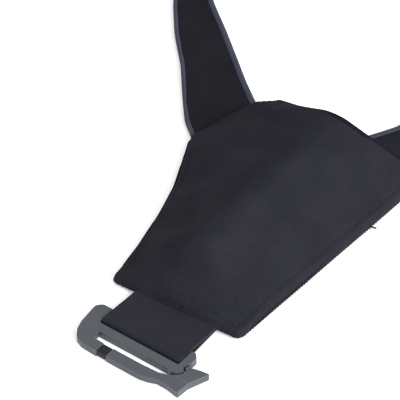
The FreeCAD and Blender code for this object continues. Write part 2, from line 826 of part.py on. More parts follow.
def build_buckle():
    """Gated hook: frame with its round bar, flexible patch, and gate."""
    bar_z = d.hook_bar + d.bar_clearance + d.webbing_thickness
    plate = padded("XY_Plane", frame_outline(), 0, d.hook_thickness)
    limit = ARM_OUTER.value - 9.5
    inner = HOOK_INNER.value

    def on_corner(edge):
        """True for the upright edges of the rounded corner between side arm and outer arm."""
        y = edge.Vertexes[0].Point.y
        return upright(edge) and y > limit and abs(y - inner) > 0.1

    def elsewhere(edge):
        """True for every other upright edge of the outline."""
        y = edge.Vertexes[0].Point.y
        return upright(edge) and (y < limit - 2 or abs(y - inner) <= 0.1)

    round_edges(plate, on_corner, d.corner_round)
    round_edges(plate, elsewhere, d.edge_round)
    step = block((RAIL_FAR - 0.01, -(HOOK_INNER - 2.8), d.rail_thickness),
                 (d.rail_width + 0.02, HOOK_INNER * 2 - 6.6, d.hook_thickness))
    thin_plate = cut(plate, step)
    bar = rod((BAR_X, -(HOOK_INNER + 2.2), bar_z), d.hook_bar, HOOK_INNER * 2 + 7, "y")
    body = fuse(thin_plate, bar)
    body.Refine = False
    keep("buckle_frame", body)
    flex = padded("XY_Plane", [(GATE_OUTER + 0.2, FLEX_LOW), (GATE_INNER - 0.2, FLEX_LOW),
                               (GATE_INNER - 0.2, FLEX_TOP), (GATE_OUTER + 0.2, FLEX_TOP)],
                  d.hook_thickness * 0.15, d.hook_thickness * 0.8)
    keep("gate_flexure", flex)
    gate = padded("XY_Plane", gate_outline(), 0, d.hook_thickness)
    round_edges(gate, upright, Size.of(0.4))
    keep("buckle_gate", gate)


# ---------------------------------------------------------------- adjusters

def adjuster(node, along, centre, across, width):
    """Three-bar adjuster round both runs of a doubled webbing.

    `along` is the webbing's axis, `centre` the adjuster's middle on it, `across` the webbing's
    middle on the other axis.
    """
    gap = d.adjuster_clearance
    length = d.adjuster_length
    rail = d.adjuster_rail
    span = width + gap * 2 + rail * 2
    top = HAIRPIN + gap
    height = top + d.adjuster_top

    def bar(start, run, side, breadth, low, tall):
        corner = (start, side, low) if along == "x" else (side, start, low)
        extent = (run, breadth, tall) if along == "x" else (breadth, run, tall)
        return block(corner, extent)

    first = centre - length / 2
    edge = across - span / 2
    pieces = [
        bar(first, length, edge, rail, 0, height),
        bar(first, length, edge + span - rail, rail, 0, height),
        bar(first, d.adjuster_bar, edge, span, top, d.adjuster_top),
        bar(first + length - d.adjuster_bar, d.adjuster_bar, edge, span, top, d.adjuster_top),
        bar(centre - length * 0.15, length * 0.3, edge, span,
            d.webbing_thickness + gap, d.loop_gap - gap * 2),
    ]
    joined = fuse(*pieces)
    doc.recompute()
    rounded = doc.addObject("Part::Fillet", "Rounded")
    rounded.Base = joined
    chosen = [(i, 0.8, 0.8) for i, edge_ in enumerate(joined.Shape.Edges, start=1)
              if upright(edge_) and edge_.Length > height.value * 0.9]
    rounded.Edges = chosen
    keep(node, rounded)


def build_adjusters(down_x):
    """The belt's adjuster and the shoulder webbing's."""
    middle = BELT_LOW + d.belt_width / 2
    adjuster("belt_adjuster", "x", BELT_END - d.belt_adjuster_place, middle, d.belt_width)
    strap_middle = Size(down_x, yoke_x_formula())
    adjuster("strap_adjuster", "y", ring_middle() + d.strap_adjuster_place, strap_middle, d.shoulder_width)


# ---------------------------------------------------------------- transceiver

FACE_RISE = d.device_height - d.near_edge_height
FACE_RUN = d.ridge_near + HALF_WIDTH
FACE_LENGTH = math.hypot(FACE_RISE.value, FACE_RUN.value)
FACE_ANGLE = Size(math.degrees(math.atan2(FACE_RISE.value, FACE_RUN.value)),
                  f"atan({(FACE_RISE / FACE_RUN).formula})")
SPLIT_Z = DEVICE_FLOOR + d.split_height
COVER_Z = SPLIT_Z + d.seal_thickness
INNER_FLOOR = DEVICE_FLOOR + d.case_wall


def face_point(x, up, out):
    """A point on the sloping face: `up` the slope from its lower edge, `out` along its normal."""
    up = Size.of(up)
    out = Size.of(out)
    cosine = Size(math.cos(math.radians(FACE_ANGLE.value)), f"cos({FACE_ANGLE.formula})")
    sine = Size(math.sin(math.radians(FACE_ANGLE.value)), f"sin({FACE_ANGLE.formula})")
    y = up * cosine - out * sine - HALF_WIDTH
    z = up * sine + out * cosine + DEVICE_FLOOR + d.near_edge_height
    return x, y, z


def face_block(x, up, out, extent):
    """A box lying on the sloping face, from its lowest corner in the face's own directions."""
    return block(face_point(x, up, out), extent, FACE_ANGLE)


def face_rod(x, up, out, radius, length):
    """A cylinder standing along the sloping face's normal."""
    cylinder = doc.addObject("Part::Cylinder", "Key")
    bind(cylinder, "Radius", radius)
    bind(cylinder, "Height", length)
    return place(cylinder, face_point(x, up, out), FACE_ANGLE)


def case_inner_section():
    """The cavity's YZ section: the case section moved in by the wall."""
    wall = d.case_wall
    side = HALF_WIDTH - wall
    roof = DEVICE_FLOOR + d.device_height - wall
    return [
        (-side, INNER_FLOOR),
        (side, INNER_FLOOR),
        (side, DEVICE_FLOOR + d.far_edge_height - wall * 0.9),
        (d.ridge_far - 1, roof),
        (d.ridge_near + 1, roof),
        (-side, DEVICE_FLOOR + d.near_edge_height - wall * 0.66),
    ]


def key_places():
    """X and slope position of each push button."""
    up = Size.of(FACE_LENGTH) / 2 + 1.5
    x = HALF_LENGTH - d.window_inset - d.window_length - d.key_offset
    return [("select_button", x, up - d.key_spacing / 2), ("search_button", x, up + d.key_spacing / 2)]


def window_corner():
    """Where the display window starts: X and slope position."""
    return HALF_LENGTH - d.window_inset - d.window_length, d.window_rise


def build_case():
    """Two case halves with every opening, the seal between them and the screws that join them."""
    outer = padded("YZ_Plane", device_section(0), -HALF_LENGTH, d.device_length)
    round_edges(outer, lambda edge: edge.BoundBox.ZMax > SPLIT_Z.value, d.case_round)
    cavity = padded("YZ_Plane", case_inner_section(), -(HALF_LENGTH - d.case_wall),
                    d.device_length - d.case_wall * 2)
    shell = cut(outer, cavity)
    margin = 2
    base_corner = (-(HALF_LENGTH + margin), -(HALF_WIDTH + margin), DEVICE_FLOOR - margin)
    plan = (d.device_length + margin * 2, d.device_width + margin * 2)
    lower = common(shell, block(base_corner, plan + (d.split_height + margin,)))
    upper_corner = (base_corner[0], base_corner[1], COVER_Z)
    upper = common(shell, block(upper_corner, plan + (d.device_height + margin,)))

    window_x, window_up = window_corner()
    window_hole = face_block(window_x, window_up, -4,
                             (d.window_length, d.window_width, Size.of(6)))
    recess = face_block(-8, 3, -d.recess_depth,
                        (HALF_LENGTH + 2, Size.of(FACE_LENGTH) - 6, Size.of(4)))
    holes = [face_rod(x, up, -6, d.key_radius + d.key_gap, Size.of(12)) for _, x, up in key_places()]
    channel = block((-(d.switch_length / 2) - d.switch_gap, d.ridge_near + 0.4,
                     DEVICE_FLOOR + d.device_height - d.case_wall - 1),
                    (d.switch_length + d.switch_travel + d.switch_gap * 2, d.switch_width + d.switch_gap * 2,
                     d.case_wall + 4))
    keep("case_front", cut(upper, recess, window_hole, *holes, channel))

    hatch_x, hatch_y, hatch_length, hatch_width = hatch_place()
    grow = d.hatch_gap
    opening = block((hatch_x - grow, hatch_y - grow, DEVICE_FLOOR - 1),
                    (hatch_length + grow * 2, hatch_width + grow * 2, d.case_wall + 2))
    screw_holes = [rod((x, y, DEVICE_FLOOR - 1), d.screw_radius, d.split_height + 2)
                   for x, y in screw_places()]
    bosses = [rod((x, y, DEVICE_FLOOR), d.screw_radius + 1.4, d.split_height) for x, y in screw_places()]
    keep("case_back", cut(fuse(lower, *bosses), opening, *screw_holes))

    seal_outer = block((-(HALF_LENGTH - 0.4), -(HALF_WIDTH - 0.4), SPLIT_Z),
                       (d.device_length - 0.8, d.device_width - 0.8, d.seal_thickness))
    inset = d.seal_width + 0.4
    seal_inner = block((-(HALF_LENGTH - inset), -(HALF_WIDTH - inset), SPLIT_Z - 1),
                       (d.device_length - inset * 2, d.device_width - inset * 2, d.seal_thickness + 2))
    keep("case_seal", cut(seal_outer, seal_inner))
    for number, (x, y) in enumerate(screw_places(), start=1):
        keep(f"case_screw_{number}", rod((x, y, DEVICE_FLOOR + 0.2), d.screw_radius, d.split_height - 0.2))


def screw_places():
    """The four case screws, inside the case's corners."""
    x = HALF_LENGTH - d.case_wall - d.screw_radius - 1.2
    y = HALF_WIDTH - d.case_wall - d.screw_radius - 1.2
    return [(-x, -y), (-x, y), (x, -y), (x, y)]


def hatch_place():
    """Corner and extent of the hatch below the cells."""
    left = cells_left() - 2
    length = d.cell_length + 4
    width = d.cell_pitch * 2 + d.cell_radius * 2 + d.hatch_margin
    return left, d.cells_middle - width / 2, length, width


def cells_left():
    """X where the cells start."""
    return -(HALF_LENGTH - d.case_wall - d.cells_inset)


def build_power():
    """Three cells side by side, their contacts, and the screwed hatch below them."""
    centre_z = INNER_FLOOR + 0.4 + d.cell_radius
    for number, step in enumerate((-1, 0, 1), start=1):
        y = d.cells_middle + d.cell_pitch * step
        keep(f"cell_{number}", rod((cells_left(), y, centre_z), d.cell_radius, d.cell_length, "x"))
    breadth = d.cell_pitch * 2 + d.cell_radius * 1.4
    tall = d.cell_radius * 1.6
    low = centre_z - d.cell_radius * 0.8
    left = (cells_left() - d.contact_thickness - 0.05, d.cells_middle - breadth / 2, low)
    right = (cells_left() + d.cell_length + 0.05, d.cells_middle - breadth / 2, low)
    keep("contact_strip_left", block(left, (d.contact_thickness, breadth, tall)))
    keep("contact_strip_right", block(right, (d.contact_thickness, breadth, tall)))
    x, y, length, width = hatch_place()
    middle_y = y + width / 2
    screw_x = x + length - 2.6
    plate = block((x, y, DEVICE_FLOOR), (length, width, d.case_wall - 0.2))
    hole = rod((screw_x, middle_y, DEVICE_FLOOR - 1), d.screw_radius, d.case_wall + 2)
    keep("battery_hatch", cut(plate, hole))
    keep("hatch_screw", rod((screw_x, middle_y, DEVICE_FLOOR + 0.1), d.screw_radius, d.case_wall - 0.3))


def build_display():
    """Window flush in the face's recess and the display module behind it."""
    x, up = window_corner()
    out = -(d.recess_depth + d.window_thickness)
    keep("display_window", face_block(x + 0.1, up + 0.1, out,
                                      (d.window_length - 0.2, d.window_width - 0.2, d.window_thickness)))
    keep("display_module", face_block(x + 1, up + 1, out - 0.1 - d.display_thickness,
                                      (d.window_length - 2, d.window_width - 2, d.display_thickness)))


def build_keys():
    """Two sprung buttons, the membrane below them, and the sliding mode switch on the ridge."""
    for name, x, up in key_places():
        keep(name, face_rod(x, up, -(d.key_height + 0.1), d.key_radius, d.key_height))
    _, x, first_up = key_places()[0]
    reach = d.key_radius * 2
    membrane = face_block(x - d.key_radius, first_up - d.key_radius,
                          -(d.key_height + d.key_travel + 0.3 + d.membrane_thickness),
                          (reach, d.key_spacing + reach, d.membrane_thickness))
    keep("key_membrane", membrane)
    body = block((-(d.switch_length / 2), d.ridge_near + 0.4 + d.switch_gap,
                  DEVICE_FLOOR + d.device_height - d.case_wall - 0.6),
                 (d.switch_length, d.switch_width, d.case_wall + 0.3))
    grip = block((-1.5, d.ridge_near + 0.4 + d.switch_gap, DEVICE_FLOOR + d.device_height - 0.9),
                 (Size.of(3), d.switch_width, Size.of(2)))
    keep("mode_switch", cut(body, grip))


def build_electronics():
    """Board with its chips, speaker, three antennas and the vibration motor."""
    board_x = cells_left() + d.cell_length + d.contact_thickness + 1.5
    board_y = -(HALF_WIDTH - d.case_wall - 7)
    board_z = DEVICE_FLOOR + d.board_lift
    board = block((board_x, board_y, board_z), (d.board_length, d.board_width, d.board_thickness))
    keep("main_board", board)
    top = board_z + d.board_thickness
    keep("processor_chip", block((board_x + 26, board_y + 30, top), (10, 9, 1.2)))
    keep("radio_chip", block((board_x + 4, board_y + 14, top), (6, 6, 1.0)))
    speaker_y = board_y + d.board_width - d.speaker_radius
    keep("speaker", rod((board_x + 11, speaker_y, top), d.speaker_radius, d.speaker_height))

    rod_z = INNER_FLOOR + 0.3 + d.rod_radius + d.coil_wall
    rod_y = d.cells_middle + d.cell_pitch + d.cell_radius + d.rod_radius + d.coil_wall + 0.3
    keep_antenna("x", (-(d.rod_long / 2) - 4, rod_y, rod_z), d.rod_long)
    cross_x = HALF_LENGTH - d.case_wall - 0.4 - d.rod_radius - d.coil_wall
    keep_antenna("y", (cross_x, -(d.rod_cross / 2) - 2, rod_z), d.rod_cross)
    upright_x = board_x + 24
    upright_y = d.ridge_near + d.coil_upright_radius + 0.5
    core = rod((upright_x, upright_y, top + 1.6), d.coil_upright_radius - 2, d.coil_upright_height)
    hole = rod((upright_x, upright_y, top), d.coil_upright_radius - 1.9, d.coil_upright_height + 4)
    ring = rod((upright_x, upright_y, top + 1.9), d.coil_upright_radius, d.coil_upright_height - 0.6)
    keep("antenna_core_z", core)
    keep("antenna_coil_z", cut(ring, hole))

    motor_z = INNER_FLOOR + 0.3 + d.motor_radius
    motor_y = d.cells_middle - d.cell_pitch - d.cell_radius - d.motor_radius - 0.4
    motor_x = -(HALF_LENGTH - d.case_wall - 10)
    keep("vibration_motor", rod((motor_x, motor_y, motor_z), d.motor_radius, d.motor_length, "x"))
    weight_x = motor_x + d.motor_length + 0.3
    disc = rod((weight_x, motor_y, motor_z), d.motor_radius - 0.2, d.weight_length, "x")
    away = block((weight_x - 1, motor_y - d.motor_radius - 1, motor_z + 0.9),
                 (d.weight_length + 2, d.motor_radius * 2 + 2, d.motor_radius + 1))
    keep("motor_weight", cut(disc, away))


def keep_antenna(axis, start, length):
    """A ferrite rod with a winding over its middle."""
    x, y, z = start
    core = rod(start, d.rod_radius, length, axis)
    inset = length * 0.15
    winding_start = (x + inset, y, z) if axis == "x" else (x, y + inset, z)
    winding = rod(winding_start, d.rod_radius + d.coil_wall, length * 0.7, axis)
    bore_start = (x - 1, y, z) if axis == "x" else (x, y - 1, z)
    bore = rod(bore_start, d.rod_radius + 0.02, length + 2, axis)
    keep(f"antenna_core_{axis}", core)
    keep(f"antenna_coil_{axis}", cut(winding, bore))


def build_case_trim():
    """Leash lug and status light on the mouth end, and the rubber grips on both sides."""
    lug_y = d.ridge_far + 2
    low = DEVICE_FLOOR + d.far_edge_height * 0.1
    lug = padded("XY_Plane", [
        (HALF_LENGTH, lug_y),
        (HALF_LENGTH + d.lug_length - 2, lug_y),
        (HALF_LENGTH + d.lug_length, lug_y + 2),
        (HALF_LENGTH + d.lug_length, lug_y + d.lug_width - 2),
        (HALF_LENGTH + d.lug_length - 2, lug_y + d.lug_width),
        (HALF_LENGTH, lug_y + d.lug_width),
    ], low, d.lug_thickness)
    eye = rod((HALF_LENGTH + d.lug_length / 2, lug_y + d.lug_width / 2, low - 1),
              d.lug_hole, d.lug_thickness + 2)
    keep("leash_lug", cut(lug, eye))
    light_y = -(d.ridge_far + 6)
    keep("status_light", block((HALF_LENGTH, light_y, COVER_Z + 1), (Size.of(0.4), Size.of(8), Size.of(2))))
    length = d.grip_length
    for name, y, tall in (("side_grip_near", -(HALF_WIDTH + d.grip_thickness), d.near_edge_height),
                          ("side_grip_far", HALF_WIDTH, d.far_edge_height)):
        keep(name, block((-length / 2, y, DEVICE_FLOOR + 0.8),
                         (length, d.grip_thickness, tall - d.case_round - 1.2)))


# ---------------------------------------------------------------- checking and writing

def check_and_write():
    """Recompute, refuse any failed object or invalid sub-part, then write each sub-part."""
    doc.recompute()
    failed = [item.Name for item in doc.Objects if "Invalid" in item.State or "Error" in item.State]
    if failed:
        raise RuntimeError(f"failed objects: {failed}")
    os.makedirs("parts", exist_ok=True)
    for node, thing in parts.items():
        shape = thing.Shape
        if shape.isNull() or not shape.isValid() or len(shape.Solids) != 1:
            raise RuntimeError(f"{node}: not one valid solid ({len(shape.Solids)})")
    for node, thing in parts.items():
        thing.Shape.exportStep(f"parts/{node}.step")
    print(f"wrote {len(parts)} sub-parts")


build_back_panel()
build_pouch_front()
build_shoulder_strap()
build_belt_wing()
build_buckle_webbing()
build_belt_webbing()
straight_x = build_shoulder_webbing()
build_yoke(straight_x)
build_leash_anchor()
build_buckle()
build_adjusters(straight_x)
build_case()
build_power()
build_display()
build_keys()
build_electronics()
build_case_trim()
check_and_write()
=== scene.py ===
"""Carrying harness of an avalanche transceiver, with the transceiver in its pouch."""
import logging
import math
from collections.abc import Callable, Sequence
from dataclasses import dataclass, field
from enum import Enum

import bmesh
import bpy
import numpy as np
from mathutils import Matrix, Vector


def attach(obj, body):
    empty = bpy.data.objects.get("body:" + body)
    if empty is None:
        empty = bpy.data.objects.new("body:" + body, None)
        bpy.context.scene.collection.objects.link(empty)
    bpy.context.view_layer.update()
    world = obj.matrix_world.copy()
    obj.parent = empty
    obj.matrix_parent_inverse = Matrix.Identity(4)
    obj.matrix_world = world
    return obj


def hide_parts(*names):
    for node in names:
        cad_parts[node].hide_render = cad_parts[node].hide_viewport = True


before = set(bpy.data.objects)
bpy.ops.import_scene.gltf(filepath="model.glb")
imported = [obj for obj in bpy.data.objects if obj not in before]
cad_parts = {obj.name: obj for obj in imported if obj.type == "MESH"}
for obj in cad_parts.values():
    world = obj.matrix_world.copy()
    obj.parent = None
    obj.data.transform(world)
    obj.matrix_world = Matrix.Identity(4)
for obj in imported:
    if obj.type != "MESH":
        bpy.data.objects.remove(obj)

LOG = logging.getLogger("harness")
MM = 0.001
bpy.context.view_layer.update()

Colour = tuple[float, float, float]
Point = tuple[float, ...]
Place = Callable[[float, float], Vector]


def mm(*values: float) -> Vector:
    """A vector given in millimetres, in metres."""
    return Vector([value * MM for value in values])


def srgb(red: float, green: float, blue: float) -> Colour:
    """Turn an 8-bit display colour into a linear one.

    Args:
        red, green, blue: channels from 0 to 255.
    Returns:
        The linear colour, each channel 0 to 1.
    """
    scaled = (channel / 255.0 for channel in (red, green, blue))
    return tuple(c / 12.92 if c <= 0.04045 else ((c + 0.055) / 1.055) ** 2.4 for c in scaled)


# ---------------------------------------------------------------- shader nodes


class Graph:
    """Builds the nodes of one material or node group."""

    def __init__(self, tree: bpy.types.NodeTree) -> None:
        """Work on a node tree."""
        self.tree = tree

    def add(self, kind: str, **settings: object) -> bpy.types.Node:
        """Add a node.

        Args:
            kind: the node's class name.
            **settings: properties to set on it.
        Returns:
            The new node.
        """
        node = self.tree.nodes.new(kind)
        for key, value in settings.items():
            setattr(node, key, value)
        return node

    def feed(self, value: object, socket: bpy.types.NodeSocket) -> None:
        """Link a socket, or set a constant, on an input socket."""
        if isinstance(value, bpy.types.NodeSocket):
            self.tree.links.new(value, socket)
        else:
            socket.default_value = value

    def math(self, operation: str, *values: object, clamp: bool = False) -> bpy.types.NodeSocket:
        """A Math node's result.

        Args:
            operation: the node's operation.
            *values: its inputs in order, sockets or numbers.
            clamp: whether the result is held between 0 and 1.
        Returns:
            The output socket.
        """
        node = self.add("ShaderNodeMath", operation=operation, use_clamp=clamp)
        for value, socket in zip(values, node.inputs):
            self.feed(value, socket)
        return node.outputs[0]

    def vector(self, operation: str, *values: object) -> bpy.types.NodeSocket:
        """A Vector Math node's vector result, from its inputs in order."""
        node = self.add("ShaderNodeVectorMath", operation=operation)
        for value, socket in zip(values, node.inputs):
            self.feed(value, socket)
        return node.outputs[0]

    def split(self, vector: bpy.types.NodeSocket) -> tuple[bpy.types.NodeSocket, ...]:
        """The X, Y and Z of a vector socket."""
        node = self.add("ShaderNodeSeparateXYZ")
        self.feed(vector, node.inputs[0])
        return tuple(node.outputs)

    def noise(self, vector: bpy.types.NodeSocket, scale: object, detail: float = 2.0,
              stretch: Point = (1.0, 1.0, 1.0)) -> bpy.types.NodeSocket:
        """A noise value.

        Args:
            vector: where it is read.
            scale: its scale, a socket or a number.
            detail: octaves.
            stretch: factors on the three coordinates.
        Returns:
            The noise's value socket.
        """
        node = self.add("ShaderNodeTexNoise")
        self.feed(self.vector("MULTIPLY", vector, stretch), node.inputs["Vector"])
        self.feed(scale, node.inputs["Scale"])
        node.inputs["Detail"].default_value = detail
        return node.outputs["Fac"]

    def spread(self, value: object, low: float, high: float, to_low: float = 0.0,
               to_high: float = 1.0) -> bpy.types.NodeSocket:
        """Map a value's range smoothly onto another.

        Args:
            value: the value's socket.
            low, high: the range read.
            to_low, to_high: the range written.
        Returns:
            The mapped value's socket.
        """
        node = self.add("ShaderNodeMapRange", interpolation_type="SMOOTHSTEP")
        for key, given in (("Value", value), ("From Min", low), ("From Max", high),
                           ("To Min", to_low), ("To Max", to_high)):
            self.feed(given, node.inputs[key])
        return node.outputs["Result"]

    def mix(self, share: object, first: object, second: object) -> bpy.types.NodeSocket:
        """A colour between two, by a share; each colour is a socket or a linear triple."""
        node = self.add("ShaderNodeMix", data_type="RGBA")
        self.feed(share, node.inputs["Factor"])
        for value, key in ((first, 6), (second, 7)):
            given = value if isinstance(value, bpy.types.NodeSocket) else (*value, 1.0)
            self.feed(given, node.inputs[key])
        return node.outputs[2]

    def bump(self, height: object, depth: float, strength: float = 1.0,
             under: bpy.types.NodeSocket | None = None) -> bpy.types.NodeSocket:
        """A bumped normal.

        Args:
            height: the relief, 0 to 1.
            depth: the relief's depth in metres.
            strength: how much of it shows.
            under: a normal that it is laid over.
        Returns:
            The normal's socket.
        """
        node = self.add("ShaderNodeBump")
        node.inputs["Strength"].default_value = strength
        node.inputs["Distance"].default_value = depth
        self.feed(height, node.inputs["Height"])
        if under is not None:
            self.feed(under, node.inputs["Normal"])
        return node.outputs["Normal"]


class Effect:
    """A node group that several finishes share."""

    def __init__(self, name: str, inputs: Sequence[tuple[str, str, object]], outputs: Sequence[str],
                 make: Callable[[Graph, dict[str, bpy.types.NodeSocket]], Sequence[object]]) -> None:
        """Build the group.

        Args:
            name: the group's name.
            inputs: name, socket kind and default of each input.
            outputs: names of the value outputs.
            make: given the graph and the inputs, returns the outputs in order.
        """
        self.group = bpy.data.node_groups.new(name, "ShaderNodeTree")
        for label, kind, default in inputs:
            socket = self.group.interface.new_socket(label, in_out="INPUT", socket_type=kind)
            if default is not None:
                socket.default_value = default
        for label in outputs:
            self.group.interface.new_socket(label, in_out="OUTPUT", socket_type="NodeSocketFloat")
        graph = Graph(self.group)
        start = graph.add("NodeGroupInput")
        end = graph.add("NodeGroupOutput")
        given = {label: start.outputs[label] for label, _, _ in inputs}
        for value, label in zip(make(graph, given), outputs):
            graph.feed(value, end.inputs[label])

    def use(self, graph: Graph, **values: object) -> dict[str, bpy.types.NodeSocket]:
        """Place the group in a material.

        Args:
            graph: the material's graph.
            **values: its inputs by name, with _ for a space.
        Returns:
            The outputs by name.
        """
        node = graph.add("ShaderNodeGroup", node_tree=self.group)
        for key, value in values.items():
            graph.feed(value, node.inputs[key.replace("_", " ")])
        return {socket.name: socket for socket in node.outputs}


VECTOR_INPUT = ("Vector", "NodeSocketVector", None)
TURN = 2.0 * math.pi


def knit_rows(graph: Graph, given: dict[str, bpy.types.NodeSocket]) -> Sequence[object]:
    """Fine knit: rows of small loops, each row half a loop on from the last.

    Args:
        graph: the node tree being filled.
        given: its inputs, Vector and Pitch.
    """
    x, y, _ = graph.split(given["Vector"])
    row = graph.math("DIVIDE", y, given["Pitch"])
    column = graph.math("DIVIDE", x, given["Pitch"])
    shift = graph.math("MULTIPLY", graph.math("FLOOR", row), 0.5)
    loop = graph.math("SINE", graph.math("MULTIPLY", graph.math("ADD", column, shift), TURN))
    rib = graph.math("ABSOLUTE", graph.math("SINE", graph.math("MULTIPLY", row, math.pi)))
    height = graph.math("MULTIPLY", rib, graph.math("MULTIPLY_ADD", loop, 0.35, 0.65))
    return height, height


def herringbone(graph: Graph, given: dict[str, bpy.types.NodeSocket]) -> Sequence[object]:
    """Woven webbing: slanted threads that change direction from one column to the next.

    Args:
        graph: the node tree being filled.
        given: its inputs, Vector and Pitch.
    """
    x, y, _ = graph.split(given["Vector"])
    column = graph.math("DIVIDE", y, graph.math("MULTIPLY", given["Pitch"], 3.0))
    side = graph.math("PINGPONG", column, 1.0)
    slant = graph.math("ADD", graph.math("DIVIDE", x, given["Pitch"]), graph.math("MULTIPLY", side, 1.5))
    thread = graph.math("MULTIPLY_ADD", graph.math("SINE", graph.math("MULTIPLY", slant, TURN)), 0.5, 0.5)
    warp = graph.math("ABSOLUTE", graph.math("SINE", graph.math("MULTIPLY", column, math.pi * 3.0)))
    height = graph.math("MULTIPLY", thread, graph.math("MULTIPLY_ADD", warp, 0.5, 0.5))
    return height, height


def open_mesh(graph: Graph, given: dict[str, bpy.types.NodeSocket]) -> Sequence[object]:
    """Spacer mesh: a honeycomb of small holes between raised cords.

    Args:
        graph: the node tree being filled.
        given: its inputs, Vector and Pitch.
    """
    scaled = graph.vector("SCALE", given["Vector"])
    scale = scaled.node.inputs["Scale"]
    graph.feed(graph.math("DIVIDE", 1.0, given["Pitch"]), scale)
    cells = graph.add("ShaderNodeTexVoronoi", feature="DISTANCE_TO_EDGE", voronoi_dimensions="2D")
    graph.feed(scaled, cells.inputs["Vector"])
    cells.inputs["Randomness"].default_value = 0.25
    cells.inputs["Scale"].default_value = 1.0
    # This hole mask also places the painted shade in the holes.
    hole_shade = graph.spread(cells.outputs["Distance"], 0.12, 0.3)
    return graph.math("SUBTRACT", 1.0, hole_shade), hole_shade


def cross_ribs(graph: Graph, given: dict[str, bpy.types.NodeSocket]) -> Sequence[object]:
    """Grosgrain tape: close ribs across its length."""
    x, y, _ = graph.split(given["Vector"])
    along = graph.math("DIVIDE", x, given["Pitch"])
    rib = graph.math("ABSOLUTE", graph.math("SINE", graph.math("MULTIPLY", along, math.pi)))
    warp = graph.math("SINE", graph.math("MULTIPLY", graph.math("DIVIDE", y, given["Pitch"]), TURN))
    height = graph.math("MULTIPLY", rib, graph.math("MULTIPLY_ADD", warp, 0.2, 0.8))
    return height, height


def fuzz_tone(graph: Graph, given: dict[str, bpy.types.NodeSocket]) -> Sequence[object]:
    """Loose fibre and handling: fine specks, soft rubbed patches, and lint."""
    fine = graph.noise(given["Vector"], given["Scale"], 3.0)
    soft = graph.noise(given["Vector"], graph.math("MULTIPLY", given["Scale"], 0.035), 3.0)
    lint_noise = graph.noise(given["Vector"], graph.math("MULTIPLY", given["Scale"], 0.6), 1.0,
                             (1.0, 0.18, 1.0))
    return graph.spread(fine, 0.35, 0.68), graph.spread(soft, 0.35, 0.7), graph.spread(lint_noise, 0.7, 0.78)


def moulded_grain(graph: Graph, given: dict[str, bpy.types.NodeSocket]) -> Sequence[object]:
    """Spark-eroded mould skin with faint handling scratches."""
    grain = graph.noise(given["Vector"], given["Scale"], 2.0)
    handled = graph.noise(given["Vector"], graph.math("MULTIPLY", given["Scale"], 0.03), 3.0)
    scratch = graph.noise(given["Vector"], graph.math("MULTIPLY", given["Scale"], 0.2), 2.0,
                          (1.0, 0.06, 1.0))
    return (graph.spread(grain, 0.3, 0.7), graph.spread(handled, 0.35, 0.65),
            graph.spread(scratch, 0.68, 0.74))


class Weave(Enum):
    """The cloth structures that the harness uses."""

    KNIT = "knit"
    WEBBING = "webbing"
    MESH = "mesh"
    TAPE = "tape"


class Effects:
    """The shared node groups, made once."""

    def __init__(self) -> None:
        """Build each group."""
        pitched = [VECTOR_INPUT, ("Pitch", "NodeSocketFloat", 0.001)]
        scaled = [VECTOR_INPUT, ("Scale", "NodeSocketFloat", 1000.0)]
        relief = ["Height", "Tone"]
        self.weaves = {
            Weave.KNIT: Effect("Fine knit", pitched, relief, knit_rows),
            Weave.WEBBING: Effect("Woven webbing", pitched, relief, herringbone),
            Weave.MESH: Effect("Open spacer mesh", pitched, relief, open_mesh),
            Weave.TAPE: Effect("Ribbed tape", pitched, relief, cross_ribs),
        }
        self.fuzz = Effect("Fibre fuzz", scaled, ["Speck", "Rub", "Lint"], fuzz_tone)
        self.grain = Effect("Moulded grain", scaled, ["Height", "Handled", "Scratch"], moulded_grain)


@dataclass(frozen=True)
class Finish:
    """What every finish has: a name, its colour and how rough it is."""

    name: str
    colour: Colour
    roughness: float

    def start(self) -> tuple[bpy.types.Material, Graph, bpy.types.Node]:
        """A material with its shader, and the graph to build in."""
        material = bpy.data.materials.new(self.name)
        material.use_nodes = True
        material.diffuse_color = (*self.colour, 1.0)
        shader = material.node_tree.nodes["Principled BSDF"]
        shader.inputs["Roughness"].default_value = self.roughness
        return material, Graph(material.node_tree), shader

    def object_point(self, graph: Graph) -> bpy.types.NodeSocket:
        """The point on the object, in metres."""
        return graph.add("ShaderNodeTexCoord").outputs["Object"]


